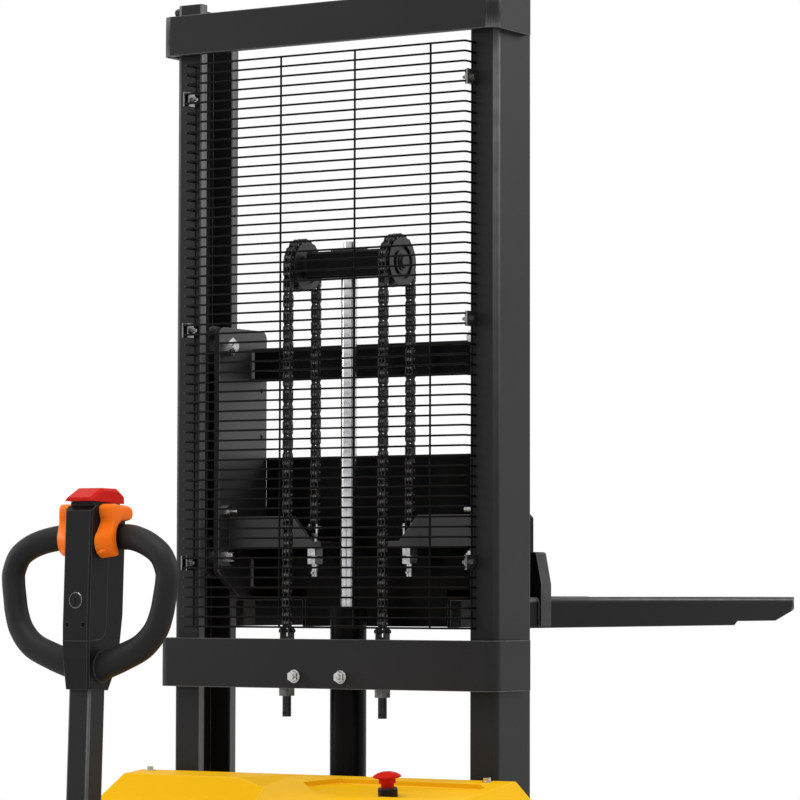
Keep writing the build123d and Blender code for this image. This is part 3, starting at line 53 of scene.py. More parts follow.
# Places and sizes are in millimetres, in the frame of the solids. X runs to the operator's right,
# Y towards the fork tips and Z up from the floor.

# Chains and their wheels
MAST_Y = -156.0
WHEEL_Z = 1625.5
CHAIN_X = 90.0
PITCH = 12.7
NEAR_LINKS = 46
WRAP_LINKS = 10
FAR_LINKS = 33
PITCH_R = PITCH / (2 * math.sin(math.pi / (2 * WRAP_LINKS)))
NEAR_Y = MAST_Y - PITCH_R
FAR_Y = MAST_Y + PITCH_R
NEAR_PIN_Z = WHEEL_Z - NEAR_LINKS * PITCH

# Link plates, as end radius and half waist, and rollers and pins, as end radius and radius
PLATE_T = 1.5
INNER_X = 3.9
OUTER_X = 5.45
PLATE_EDGE = (5.8, 5.1)
PLATE_RIM = (5.4, 4.8)
PLATE_EASE = 0.35
PLATE_OVER = 20
PLATE_STEPS = 7
ROLLER_R = (3.8, 4.2)
ROLLER_SIDES = 14
PIN_R = (1.6, 2.1)
PIN_SIDES = 10
PIN_OUT = 1.5
BAR_EASE = 0.4

# Wire mesh guard
MESH_Y = -238.0
MESH_BACK_Y = -206.5
MESH_HALF = 265.0
MESH_Z = 1047.5
MESH_PITCH = 15.66
MESH_ROWS = 59
MESH_POSTS = (-220.0, -80.0, 60.0, 200.0)
MESH_BEND = 5.0
BEND_STEPS = 4
WIRE_R = 1.7
WIRE_SIDES = 8
STEEP = 0.9

# Places where a finish changes
BEAM_LOW = 951.0
STUD_NUT = 13.5
TOP_SCREWS_Z = (1800.0, 2200.0)
TIP_X = 255.0
TIP_IN, TIP_OUT = 1.0, 0.8
GUSSET_Z = (1047.0, 1200.0)
GUSSET_Y = (-43.5, -10.0)

# Eased edges
EASE_WELD = 0.01
EASE_ANGLE = 40
PLATE_BEVEL = 1.2
UPRIGHT_BEVEL = 1.5
COVER_BEVEL = 2.0
BELLY_BEVEL = 4.0

# Weld beads of the carriage; the end and the dips are shares of the radius
WELD_X = 239.5
WELD_Y = -76.5
WELD_Z = ((1453.0, 1501.0), (1110.0, 1158.0))
BEAD_R = 3.4
BEAD_END = 0.55
BEAD_DIP = 0.86
BEAD_RIPPLE = 2.6
BEAD_SIDES = 10

# Tiller: how it stands, and then places on it as if it stood upright with its arm on X = Y = 0
GRIP_Y = -841.0
GRIP_Z = 1100.0
PIVOT_Z = 330.0
LEAN = math.radians(2.2)
HEAD_HALF = 24.0
HEAD_REAR_Y = -33.0
HEAD_EDGE = 3.0
SEAM_Z = 1032.0
SEAM_Y = 9.0
SEAM_TOP = 1150.0
SEAM_R = 20.0
SEAM_UP = 22.0
SEAM_TURN = 68
SEAM_STEPS = 8
SEAM_WIRE = 0.45
COLLAR_X = 22.56
COLLAR_Y, COLLAR_Z = 3.4, 996.4
COLLAR_DEEP, COLLAR_HIGH = 20.4, 21.6
COLLAR_WIRE = 2.4
KEY_Z = 1090.0
KEY_RING_OUT = 0.2
KEY_RING_R = 10.9
KEY_RING_WIRE = 0.75
RING_STEPS = 40

# Butterfly: side profiles beside the head and at the outer side, as (y, z) from its axis
WING_IN, WING_OUT = 24.3, 50.0
WING_AXIS_Z = 1196.0
WING_NEAR = ((-17, 28), (-16, 18), (-13, 8), (-19, -4), (-25.5, -14), (-26.5, -23), (-23.5, -33),
             (-16, -41), (-6, -45))
WING_FAR = ((-14, 29), (-15, 19), (-14.5, 7), (-16, -4), (-18, -14), (-16.5, -24), (-13, -33),
            (-7, -39), (-1, -41))
WING_BACK = ((2, -37), (-4, -24), (-5, -8), (-1, 2), (8, 8.5), (20, 9.5), (30, 13), (33, 21),
             (28, 29.5), (14, 32), (2, 31.5), (-8, 33))
# How far the profile draws in at each depth from the head
WING_ROUND = ((0.0, 1.5), (0.45, 0.45), (1.5, 0.0), (9.0, 0.0), (16.0, 0.0), (21.7, 0.0),
              (23.2, 0.3), (24.5, 1.2), (25.3, 2.5), (25.7, 4.2))
WING_STEPS = 5
NIB = ((0.4, 0), (1.9, 2.5), (2.9, 6), (2.7, 9), (1.6, 12), (0.4, 14))
NIB_SIDES = 20
NIB_X, NIB_Y, NIB_DOWN = 27.5, -22.5, 38.5
NIB_WAY = (0.86, 0.38, 0.34)
SHAFT_R = 7.0
SHAFT_LAP = 3.0
SHAFT_SIDES = 32

# Grip loops: a tube that thickens towards the head, as (x, y, z, radius) along the right loop
GRIP_LINE = (
    (13, 31, 1183, 18.5), (43, 21, 1183, 18.5), (70, 9.5, 1180.5, 18.3), (101, 1, 1171, 17.8),
    (125, -2, 1155.5, 17.3), (136, -2, 1134, 17), (137, -2, 1118.5, 17), (133.5, -2, 1094.7, 17),
    (129, -2, 1072, 17.3), (119, -2, 1048, 18), (97, -2, 1025.5, 19), (62, 0, 1010, 19.8),
    (30, 3, 999, 20.3), (13, 4, 993, 20.3),
)
TUBE_SIDES = 32
TUBE_STEPS = 6

# Materials: the part of a noise that is used, the spread of gloss and grain, and painted
# highlights along edges
NOISE_LOW, NOISE_HIGH = 0.3, 0.7
GLOSS_LOW, GLOSS_HIGH = 0.9, 1.12
GRAIN_DETAIL = 2.0
GRAIN_HEIGHT = 0.0004
EDGE_SAMPLES = 6
EDGE_STARTS, EDGE_ENDS = 0.997, 0.955
EDGE_PATCH = 35.0
EDGE_PATCH_LOW = 0.55
STREAK_LOW, STREAK_HIGH = 0.55, 1.45
# The colour sockets of a Mix node
MIX_SHARE, MIX_FIRST, MIX_SECOND, MIX_OUT = 0, 6, 7, 2

# Stage, in metres, degrees and watts. A lamp is a name, a place, a target, a size and a power
FLOOR_R = 5.0
FLOOR_DOWN = 0.0005
FLOOR_SIDES = 96
AMBIENT = 0.55
BACKDROP = 1.0
LAMPS = (
    ("key", (3.2, 3.0, 4.0), (0, -0.1, 1.8), (2.0, 2.0), 80),
    ("fill", (-5.0, -2.0, 2.6), (0, -0.2, 1.3), (2.5, 2.5), 80),
    ("top", (0.6, -1.8, 5.2), (0, -0.3, 1.0), (3.0, 3.0), 140),
)
CAMERA_PLACE = (3.1944, -5.1121, 1.104)
CAMERA_TURN, CAMERA_RISE, CAMERA_ROLL = 32.013, 2.964, 0.12
CAMERA_LENS = 166.5
CAMERA_SENSOR = 36


# Meshes

class Builder:
    # Collects vertices and faces in millimetres and makes one object of them
    def __init__(self):
        self.verts = []
        self.faces = []
        self.finish = []

    def add(self, verts, faces, place=None, finish=0):
        first = len(self.verts)
        for v in verts:
            v = Vector(v)
            self.verts.append(place @ v if place is not None else v)
        self.faces += [[first + i for i in face] for face in faces]
        self.finish += [finish] * len(faces)

    def make(self, name, *materials, angle=35):
        mesh = bpy.data.meshes.new(name)
        mesh.from_pydata([v * MM for v in self.verts], [], self.faces)
        mesh.update()
        mesh.shade_smooth()
        mesh.set_sharp_from_angle(angle=math.radians(angle))
        piece = bpy.data.objects.new(name, mesh)
        scene.collection.objects.link(piece)
        for material in materials:
            mesh.materials.append(material)
        mesh.polygons.foreach_set("material_index", self.finish)
        return piece


def rings_to_faces(rings, count):
    # Quads between rings of the same count, with an end face on the first and the last ring
    faces = []
    for r in range(rings - 1):
        for i in range(count):
            j = (i + 1) % count
            a, b = r * count, (r + 1) * count
            faces.append([a + i, a + j, b + j, b + i])
    faces.append(list(range(count))[::-1])
    faces.append([(rings - 1) * count + i for i in range(count)])
    return faces


def lathe(profile, count):
    # Profile points are (radius, height), turned about Z
    verts = []
    for r, z in profile:
        for i in range(count):
            a = 2 * math.pi * i / count
            verts.append((r * math.cos(a), r * math.sin(a), z))
    return verts, rings_to_faces(len(profile), count)


def along(start, direction):
    # Stands what was made along Z at a start, in a direction
    turn = Vector((0, 0, 1)).rotation_difference(Vector(direction)).to_matrix().to_4x4()
    return Matrix.Translation(Vector(start)) @ turn


# Materials

def grey(tone):
    return (tone, tone, tone)


def ramp(tree, source, low, high):
    node = tree.nodes.new("ShaderNodeValToRGB")
    node.color_ramp.elements[0].position = NOISE_LOW
    node.color_ramp.elements[1].position = NOISE_HIGH
    node.color_ramp.elements[0].color = (*low, 1)
    node.color_ramp.elements[1].color = (*high, 1)
    tree.links.new(source, node.inputs["Fac"])
    return node.outputs["Color"]


def spread(tree, source, low, high):
    node = tree.nodes.new("ShaderNodeMapRange")
    node.inputs["From Min"].default_value = NOISE_LOW
    node.inputs["From Max"].default_value = NOISE_HIGH
    node.inputs["To Min"].default_value = low
    node.inputs["To Max"].default_value = high
    tree.links.new(source, node.inputs["Value"])
    return node.outputs["Result"]


def noise(tree, coords, scale, detail=3.0):
    node = tree.nodes.new("ShaderNodeTexNoise")
    node.inputs["Scale"].default_value = scale
    node.inputs["Detail"].default_value = detail
    tree.links.new(coords, node.inputs["Vector"])
    return node.outputs["Fac"]


def scaled(tree, coords, scale):
    node = tree.nodes.new("ShaderNodeMapping")
    node.inputs["Scale"].default_value = scale
    tree.links.new(coords, node.inputs["Vector"])
    return node.outputs["Vector"]


def math_node(tree, operation, *sources):
    node = tree.nodes.new("ShaderNodeMath")
    node.operation = operation
    for socket, source in zip(node.inputs, sources):
        tree.links.new(source, socket)
    return node


def color_mix(tree, share, first):
    # The caller sets or links the second colour
    node = tree.nodes.new("ShaderNodeMix")
    node.data_type = "RGBA"
    tree.links.new(share, node.inputs[MIX_SHARE])
    tree.links.new(first, node.inputs[MIX_FIRST])
    return node


def painted_edge_highlights(tree, coords, tone, color, radius):
    # Near an edge the rounded normal leaves the face's own, and there the colour is painted
    # lighter: a painted highlight along the edge, in uneven patches
    round_off = tree.nodes.new("ShaderNodeBevel")
    round_off.samples = EDGE_SAMPLES
    round_off.inputs["Radius"].default_value = radius * MM
    face = tree.nodes.new("ShaderNodeNewGeometry")
    agree = tree.nodes.new("ShaderNodeVectorMath")
    agree.operation = "DOT_PRODUCT"
    tree.links.new(round_off.outputs["Normal"], agree.inputs[0])
    tree.links.new(face.outputs["True Normal"], agree.inputs[1])
    near = tree.nodes.new("ShaderNodeMapRange")
    near.inputs["From Min"].default_value = EDGE_STARTS
    near.inputs["From Max"].default_value = EDGE_ENDS
    tree.links.new(agree.outputs["Value"], near.inputs["Value"])
    patches = spread(tree, noise(tree, coords, EDGE_PATCH), EDGE_PATCH_LOW, 1.0)
    uneven = math_node(tree, "MULTIPLY", near.outputs["Result"], patches)
    edge_glint = color_mix(tree, uneven.outputs["Value"], tone)
    edge_glint.inputs[MIX_SECOND].default_value = (*color, 1)
    return edge_glint.outputs[MIX_OUT]


def finish_of(name, color, rough, metal=0.0, vary=0.12, patch=7.0, peel=900.0, peel_depth=0.05,
              stretch=(1, 1, 1), specular=0.5, edge=None, edge_r=1.7):
    # Colour varies in soft patches, a fine grain moves gloss and surface, and edges get a painted
    # highlight
    material = bpy.data.materials.new(name)
    material.use_nodes = True
    tree = material.node_tree
    shader = tree.nodes["Principled BSDF"]
    coords = tree.nodes.new("ShaderNodeTexCoord").outputs["Object"]
    soft = noise(tree, coords, patch)
    fine = noise(tree, scaled(tree, coords, stretch), peel, GRAIN_DETAIL)
    low = tuple(c * (1 - vary) for c in color)
    high = tuple(min(1.0, c * (1 + vary)) for c in color)
    tone = ramp(tree, soft, low, high)
    if edge:
        tone = painted_edge_highlights(tree, coords, tone, edge, edge_r)
    tree.links.new(tone, shader.inputs["Base Color"])
    gloss = spread(tree, fine, rough * GLOSS_LOW, min(1.0, rough * GLOSS_HIGH))
    tree.links.new(gloss, shader.inputs["Roughness"])
    bump = tree.nodes.new("ShaderNodeBump")
    bump.inputs["Strength"].default_value = peel_depth
    bump.inputs["Distance"].default_value = GRAIN_HEIGHT
    tree.links.new(fine, bump.inputs["Height"])
    tree.links.new(bump.outputs["Normal"], shader.inputs["Normal"])
    shader.inputs["Metallic"].default_value = metal
    shader.inputs["Specular IOR Level"].default_value = specular
    return material


# The edge colours of these finishes are painted highlights along the edges
post_look = dict(rough=0.44, peel_depth=0.10, specular=0.20, edge=grey(0.20))
mast_black = finish_of("mast_black", (0.010, 0.010, 0.0105), **post_look)
rail_black = finish_of("rail_black", (0.010, 0.010, 0.0105), **post_look)
# A darker, duller copy of the black paint for the pieces inside the mast: painted shade
shaded_inner_black = finish_of("shaded_inner_black", (0.0030, 0.0030, 0.0032), 0.30, peel_depth=0.08,
                        specular=0.06, edge=grey(0.05))
plate_black = finish_of("plate_black", (0.020, 0.020, 0.0205), 0.40, peel_depth=0.10,
                        specular=0.55, edge=grey(0.16))
# A darker, duller copy of the black paint for the forks: painted shade
shaded_fork_black = finish_of("shaded_fork_black", (0.0045, 0.0045, 0.0047), 0.40, peel_depth=0.10,
                       specular=0.05, edge=grey(0.22))
hood_yellow = finish_of("hood_yellow", (0.82, 0.445, 0.004), 0.55, vary=0.03, peel=700,
                        peel_depth=0.04, specular=0.05, edge=(0.95, 0.66, 0.10))
zinc_look = dict(rough=0.22, metal=1.0, vary=0.35, patch=120, peel=500, peel_depth=0.10)
zinc = finish_of("zinc", grey(0.52), **zinc_look)
clamp_zinc = finish_of("clamp_zinc", (0.22, 0.22, 0.215), **zinc_look)
bolt_zinc = finish_of("bolt_zinc", grey(0.52), **zinc_look)
dark_steel = finish_of("dark_steel", grey(0.020), 0.40, metal=0.3, vary=0.25, patch=60, peel=500,
                       peel_depth=0.12, specular=0.3)
chrome = finish_of("chrome", (0.58, 0.58, 0.59), 0.17, metal=1.0, vary=0.04, peel=300,
                   peel_depth=0.02, stretch=(1, 1, 6))
chain_steel = finish_of("chain_steel", (0.010, 0.0098, 0.0095), 0.24, vary=0.3, patch=60, peel=400,
                        peel_depth=0.15, specular=0.12, edge=grey(0.16), edge_r=0.6)
roller_steel = finish_of("roller_steel", (0.16, 0.157, 0.15), 0.28, metal=1.0, vary=0.4, patch=90,
                         peel=400, peel_depth=0.15)
wheel_steel = finish_of("wheel_steel", grey(0.035), 0.36, metal=0.6, vary=0.25, patch=30, peel=600,
                        specular=0.3)
black_plastic = finish_of("black_plastic", (0.007, 0.007, 0.0074), 0.42, peel=1500,
                          peel_depth=0.25, specular=0.14, edge=grey(0.06))
seam_plastic = finish_of("seam_plastic", (0.03, 0.03, 0.031), 0.40, peel=1500)
grip_rubber = finish_of("grip_rubber", (0.009, 0.009, 0.0095), 0.58, peel=1300, peel_depth=0.25,
                        specular=0.22)
red_plastic = finish_of("red_plastic", (0.53, 0.013, 0.007), 0.36, vary=0.05, peel_depth=0.03,
                        specular=0.06)
orange_plastic = finish_of("orange_plastic", (0.98, 0.175, 0.006), 0.30, vary=0.04,
                           peel_depth=0.03, specular=0.12, edge=(1.0, 0.32, 0.04), edge_r=0.8)
tread = finish_of("tread", grey(0.03), 0.62, vary=0.2, patch=25, peel=500, peel_depth=0.3)
battery_case = finish_of("battery_case", (0.02, 0.02, 0.024), 0.5, peel=1200, peel_depth=0.2)
cast_alloy = finish_of("cast_alloy", (0.30, 0.31, 0.32), 0.45, metal=0.9, patch=20, peel=350,
                       peel_depth=0.3)
mesh_paint = finish_of("mesh_paint", grey(0.002), 0.40, patch=40, specular=0.08)


def between(tree, coords, axis, low, high):
    # One where a place lies between two values along an axis, with X measured to both sides
    split = tree.nodes.new("ShaderNodeSeparateXYZ")
    tree.links.new(coords, split.inputs["Vector"])
    place = split.outputs[axis]
    if axis == "X":
        place = math_node(tree, "ABSOLUTE", place).outputs["Value"]
    inside = math_node(tree, "COMPARE", place)
    inside.inputs[1].default_value = (low + high) / 2 * MM
    inside.inputs[2].default_value = (high - low) / 2 * MM
    return inside.outputs["Value"]


def band(material, ranges, color, metal, grain):
    # Another colour and metal within the ranges
    tree = material.node_tree
    shader = tree.nodes["Principled BSDF"]
    coords = tree.nodes.new("ShaderNodeTexCoord").outputs["Object"]
    inside = between(tree, coords, *ranges[0])
    for more in ranges[1:]:
        inside = math_node(tree, "MULTIPLY", inside, between(tree, coords, *more)).outputs["Value"]
    streak = noise(tree, scaled(tree, coords, grain), 1.0)
    low, high = (tuple(c * share for c in color) for share in (STREAK_LOW, STREAK_HIGH))
    tint = color_mix(tree, inside, shader.inputs["Base Color"].links[0].from_socket)
    tree.links.new(ramp(tree, streak, low, high), tint.inputs[MIX_SECOND])
    tree.links.new(tint.outputs[MIX_OUT], shader.inputs["Base Color"])
    if metal != shader.inputs["Metallic"].default_value:
        shift = tree.nodes.new("ShaderNodeMapRange")
        shift.inputs["To Min"].default_value = shader.inputs["Metallic"].default_value
        shift.inputs["To Max"].default_value = metal
        tree.links.new(inside, shift.inputs["Value"])
        tree.links.new(shift.outputs["Result"], shader.inputs["Metallic"])


# The chain studs are black with a dull zinc nut under the beam and the screws at the mast top are
# dark. The flange edges of the uprights get a painted highlight, a lighter streaky metal strip,
# and the fork gussets are painted lighter than the shaded forks, painted light standing in for the
# light on them
band(dark_steel, [("Z", BEAM_LOW - STUD_NUT, BEAM_LOW)], (0.16, 0.16, 0.155), 1.0, (90, 90, 90))
band(bolt_zinc, [("Z", *TOP_SCREWS_Z)], grey(0.02), 0.3, (90, 90, 90))
band(rail_black, [("X", TIP_X - TIP_IN, TIP_X + TIP_OUT)], grey(0.10), 0.6, (300, 700, 1.5))
band(shaded_fork_black, [("Z", *GUSSET_Z), ("Y", *GUSSET_Y)], grey(0.05), 0.0, (20, 20, 20))

# Finishes by slot, and by node where one differs from its slot's
finishes = {
    "mast_black": mast_black, "hood_yellow": hood_yellow, "zinc": zinc, "chrome": chrome,
    "chain_steel": chain_steel, "wheel_steel": wheel_steel, "black_plastic": black_plastic,
    "grip_rubber": grip_rubber, "red_plastic": red_plastic, "orange_plastic": orange_plastic,
    "tread": tread, "battery_case": battery_case, "cast_alloy": cast_alloy,
}
slot_of = {row["node"]: row["material_slot"] for row in frame["record"]["subparts"]}
special = {
    "lift_cylinder": shaded_inner_black, "cylinder_gland": shaded_inner_black, "cylinder_saddle": shaded_inner_black,
    "crosshead": shaded_inner_black, "carriage_upper_bar": shaded_inner_black, "carriage_lower_bar": shaded_inner_black,
    "carriage_front_plate": shaded_inner_black, "mast_chain_anchors": dark_steel,
    "mast_bolts": bolt_zinc, "mesh_clamps": clamp_zinc, "rod_end_plate": mast_black,
    "upright_left": rail_black, "upright_right": rail_black,
    "carriage_side_left": plate_black, "carriage_side_right": plate_black,
    "fork_left": shaded_fork_black, "fork_right": shaded_fork_black,
}
for name, node in nodes.items():
    node.data.materials.clear()
    node.data.materials.append(special.get(name, finishes[slot_of[name]]))


# Roller chains

def plate_outline(end_r, waist):
    # Two round ends, each a little more than a half circle, and a waist between them
    points = []
    for end in (1, -1):
        for i in range(PLATE_STEPS):
            a = math.radians(-PLATE_OVER + (180 + 2 * PLATE_OVER) * i / (PLATE_STEPS - 1))
            a += 0 if end > 0 else math.pi
            points.append((end_r * math.cos(a), end * PITCH / 2 + end_r * math.sin(a)))
        points.append((-end * waist, 0))
    return points


def link_plate(x0, x1):
    # A waisted plate across X, long way up Z, with eased rims
    outline, rim = plate_outline(*PLATE_EDGE), plate_outline(*PLATE_RIM)
    rings = [(x0, rim), (x0 + PLATE_EASE, outline), (x1 - PLATE_EASE, outline), (x1, rim)]
    verts = [(x, y, z) for x, ring in rings for y, z in ring]
    return verts, rings_to_faces(len(rings), len(outline))


def eased_bar(end_r, r, half, count):
    # A short round bar about Z
    profile = [(end_r, -half), (r, BAR_EASE - half), (r, half - BAR_EASE), (end_r, half)]
    return lathe(profile, count)


ACROSS = Matrix.Rotation(math.pi / 2, 4, "Y")
ROLLER = eased_bar(*ROLLER_R, INNER_X, ROLLER_SIDES)
PIN = eased_bar(*PIN_R, OUTER_X + PLATE_T + PIN_OUT, PIN_SIDES)
INNER_LINK = [link_plate(INNER_X, INNER_X + PLATE_T), link_plate(-INNER_X - PLATE_T, -INNER_X)]
OUTER_LINK = [link_plate(OUTER_X, OUTER_X + PLATE_T), link_plate(-OUTER_X - PLATE_T, -OUTER_X)]
OUTER_LINK.append(link_plate(-PLATE_T / 2, PLATE_T / 2))


def add_links(chain, pins, first, roller_pins):
    for i, (a, b) in enumerate(zip(pins, pins[1:])):
        a, b = Vector(a), Vector(b)
        turn = Matrix.Rotation(-math.atan2((b - a).y, (b - a).z), 4, "X")
        place = Matrix.Translation((a + b) / 2) @ turn
        for verts, faces in INNER_LINK if (first + i) % 2 == 0 else OUTER_LINK:
            chain.add(verts, faces, place)
    for pin in roller_pins:
        chain.add(*ROLLER, Matrix.Translation(Vector(pin)) @ ACROSS, 1)
        chain.add(*PIN, Matrix.Translation(Vector(pin)) @ ACROSS, 1)


near, wrap, far = Builder(), Builder(), Builder()
for x in (-CHAIN_X, CHAIN_X):
    pins = [(x, NEAR_Y, NEAR_PIN_Z + k * PITCH) for k in range(NEAR_LINKS + 1)]
    add_links(near, pins, 0, pins[1:-1])
    turns = [math.pi - k * math.pi / WRAP_LINKS for k in range(WRAP_LINKS + 1)]
    pins = [(x, MAST_Y + PITCH_R * math.cos(a), WHEEL_Z + PITCH_R * math.sin(a)) for a in turns]
    add_links(wrap, pins, NEAR_LINKS, pins)
    pins = [(x, FAR_Y, WHEEL_Z - k * PITCH) for k in range(FAR_LINKS + 1)]
    add_links(far, pins, NEAR_LINKS + WRAP_LINKS, pins[1:-1])
chain_near = near.make("chain_near_links", chain_steel, roller_steel)
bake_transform(chain_near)
chain_wrap = wrap.make("chain_wrap_links", chain_steel, roller_steel)
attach(chain_wrap, "lift_rod")
chain_far = far.make("chain_far_links", chain_steel, roller_steel)
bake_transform(chain_far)
for piece, node in ((chain_near, "chain_near_runs"), (chain_wrap, "chain_wraps"),
                    (chain_far, "chain_far_runs")):
    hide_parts(node)


# Wire mesh guard

def add_wire(builder, path, radius):
    # A round wire through the points of a path. A steep way takes any side, as it's close to Z
    path = [Vector(p) for p in path]
    verts = []
    for i, p in enumerate(path):
        before, after = path[max(i - 1, 0)], path[min(i + 1, len(path) - 1)]
        way = (after - before).normalized()
        side = way.orthogonal() if abs(way.z) > STEEP else way.cross(Vector((0, 0, 1)))
        side.normalize()
        up = side.cross(way)
        for k in range(WIRE_SIDES):
            a = 2 * math.pi * (k + 0.5) / WIRE_SIDES
            verts.append(p + radius * (math.cos(a) * side + math.sin(a) * up))
    builder.add(verts, rings_to_faces(len(path), WIRE_SIDES))


def bent_wire(z):
    # Across the mast, with both ends bent back to the uprights
    right = []
    for k in range(BEND_STEPS + 1):
        a = math.pi / 2 * k / BEND_STEPS
        x = MESH_HALF - MESH_BEND + MESH_BEND * math.sin(a)
        right.append((x, MESH_Y + MESH_BEND - MESH_BEND * math.cos(a), z))
    right.append((MESH_HALF, MESH_BACK_Y, z))
    return [(-x, y, z) for x, y, z in reversed(right)] + right


guard = Builder()
for k in range(MESH_ROWS):
    add_wire(guard, bent_wire(MESH_Z + k * MESH_PITCH), WIRE_R)
posts = [(x, MESH_Y + 2 * WIRE_R) for x in MESH_POSTS]
posts += [(side * (MESH_HALF - 2 * WIRE_R), MESH_BACK_Y - 3 * WIRE_R) for side in (-1, 1)]
mesh_top = MESH_Z + (MESH_ROWS - 1) * MESH_PITCH + WIRE_R
for x, y in posts:
    add_wire(guard, [(x, y, MESH_Z - WIRE_R), (x, y, mesh_top)], WIRE_R)
mesh_wires = guard.make("mesh_wires", mesh_paint)
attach(mesh_wires, "chassis")
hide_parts("mesh_guard")


# Edges of the solids are eased, so that they catch the light

def ease(node, width, segments=2, flat=True):
    weld = nodes[node].modifiers.new("weld", "WELD")
    weld.merge_threshold = EASE_WELD * MM
    bevel = nodes[node].modifiers.new("bevel", "BEVEL")
    bevel.width = width * MM
    bevel.segments = segments
    bevel.limit_method = "ANGLE"
    bevel.angle_limit = math.radians(EASE_ANGLE)
    bevel.use_clamp_overlap = True
    bevel.harden_normals = flat


for node in ("top_beam", "carriage_upper_bar", "carriage_lower_bar", "carriage_front_plate",
             "carriage_side_left", "carriage_side_right", "fork_left", "fork_right", "crosshead",
             "base_frame", "leg_left", "leg_right", "tiller_arm"):
    ease(node, PLATE_BEVEL)
for node in ("upright_left", "upright_right"):
    ease(node, UPRIGHT_BEVEL)
for node in ("hood", "tiller_head"):
    ease(node, COVER_BEVEL, 3, flat=False)
ease("belly_button", BELLY_BEVEL, 4, flat=False)


# Weld beads in the corners between the cross bars and the carriage sides

def bead(builder, x, y, z0, z1):
    # Rings thick and thin by turns, with small ends
    last = 2 * int((z1 - z0) / BEAD_RIPPLE)
    rings = []
    for i in range(last + 1):
        share = BEAD_END if i in (0, last) else 1.0 if i % 2 else BEAD_DIP
        rings.append((BEAD_R * share, z0 + i * BEAD_RIPPLE / 2))
    builder.add(*lathe(rings, BEAD_SIDES), Matrix.Translation((x, y, 0)))


welds = Builder()
for side in (-1, 1):
    for z0, z1 in WELD_Z:
        bead(welds, side * WELD_X, WELD_Y, z0, z1)
weld_beads = welds.make("weld_beads", plate_black, angle=60)
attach(weld_beads, "carriage")


# Seams of the tiller head, the ring of the key switch and the collars of the grips

PIVOT = Vector((0.0, GRIP_Y - (GRIP_Z - PIVOT_Z) * math.tan(LEAN), PIVOT_Z))
FROM_PIVOT = Matrix.Translation((0, 0, -PIVOT_Z))
TILLER = Matrix.Translation(PIVOT) @ Matrix.Rotation(-LEAN, 4, "X") @ FROM_PIVOT


def placed(path):
    return [TILLER @ Vector(p) for p in path]


# A side seam runs down, bends to the rear and meets the rear seam past the head's cut edge
seams, trim, collars = Builder(), Builder(), Builder()
rear_x = HEAD_HALF - HEAD_EDGE
rear_seam = [(x, HEAD_REAR_Y, SEAM_Z) for x in (-rear_x, rear_x)]
add_wire(seams, placed(rear_seam), SEAM_WIRE)
turns = [2 * math.pi * k / RING_STEPS for k in range(RING_STEPS + 1)]
for side in (-1, 1):
    x = side * HEAD_HALF
    path = [(x, SEAM_Y, SEAM_TOP)]
    for k in range(SEAM_STEPS + 1):
        a = math.radians(-SEAM_TURN * k / SEAM_STEPS)
        y, z = SEAM_Y - SEAM_R + SEAM_R * math.cos(a), SEAM_Z + SEAM_UP + SEAM_R * math.sin(a)
        path.append((x, y, z))
    path += [(x, HEAD_REAR_Y + HEAD_EDGE, SEAM_Z), (side * rear_x, HEAD_REAR_Y, SEAM_Z)]
    add_wire(seams, placed(path), SEAM_WIRE)
    collar = []
    for a in turns:
        y, z = COLLAR_Y + COLLAR_DEEP * math.cos(a), COLLAR_Z + COLLAR_HIGH * math.sin(a)
        collar.append((side * COLLAR_X, y, z))
    add_wire(collars, placed(collar), COLLAR_WIRE)
ring_y = HEAD_REAR_Y - KEY_RING_OUT
ring = [(KEY_RING_R * math.cos(a), ring_y, KEY_Z + KEY_RING_R * math.sin(a)) for a in turns]
add_wire(trim, placed(ring), KEY_RING_WIRE)
for builder, name, material, slot in (
        (seams, "head_seams", seam_plastic, "black_plastic"),
        (trim, "key_ring", clamp_zinc, "zinc"),
        (collars, "grip_collars", black_plastic, "black_plastic")):
    piece = builder.make(name, material)
    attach(piece, "tiller")


# Wings of the butterfly: curved thumb levers, wider than their solids and hollowed in front

def bow(a, b, c, d, t):
    # A point between b and c on the smooth curve through a, b, c and d
    bend, twist = 2 * a - 5 * b + 4 * c - d, 3 * b - a - 3 * c + d
    return (2 * b + (c - a) * t + bend * t ** 2 + twist * t ** 3) / 2


def closed_curve(points):
    # A smooth ring through the points
    points = [Vector(p) for p in points]
    count, curve = len(points), []
    for i in range(count):
        a, b, c, d = (points[(i + k) % count] for k in (-1, 0, 1, 2))
        curve += [bow(a, b, c, d, k / WING_STEPS) for k in range(WING_STEPS)]
    return curve


def inset(curve, depth):
    # Each point moves inwards, square to the curve
    result = []
    for i, p in enumerate(curve):
        run = curve[(i + 1) % len(curve)] - curve[i - 1]
        result.append(p + depth * Vector((-run.y, run.x)).normalized())
    return result


wings = Builder()
near_side, far_side = closed_curve(WING_NEAR + WING_BACK), closed_curve(WING_FAR + WING_BACK)
nib_x, nib_y, nib_z = NIB_WAY
for side in (1, -1):
    verts = []
    for deep, cut in WING_ROUND[::side]:
        t = deep / (WING_OUT - WING_IN)
        ring = inset([a.lerp(b, t) for a, b in zip(near_side, far_side)], cut)
        verts += placed([(side * (WING_IN + deep), y, WING_AXIS_Z + z) for y, z in ring])
    wings.add(verts, rings_to_faces(len(WING_ROUND), len(near_side)))
    nib_foot = (side * NIB_X, NIB_Y, WING_AXIS_Z - NIB_DOWN)
    wings.add(*lathe(NIB, NIB_SIDES), TILLER @ along(nib_foot, (side * nib_x, nib_y, nib_z)))
shaft_end = WING_IN + SHAFT_LAP
shaft = lathe([(SHAFT_R, -shaft_end), (SHAFT_R, shaft_end)], SHAFT_SIDES)
wings.add(*shaft, TILLER @ Matrix.Translation((0, 0, WING_AXIS_Z)) @ ACROSS)
butterfly_wings = wings.make("butterfly_wings", finishes[slot_of["butterfly"]], angle=50)
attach(butterfly_wings, "butterfly")
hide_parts("butterfly")


# Grip loops

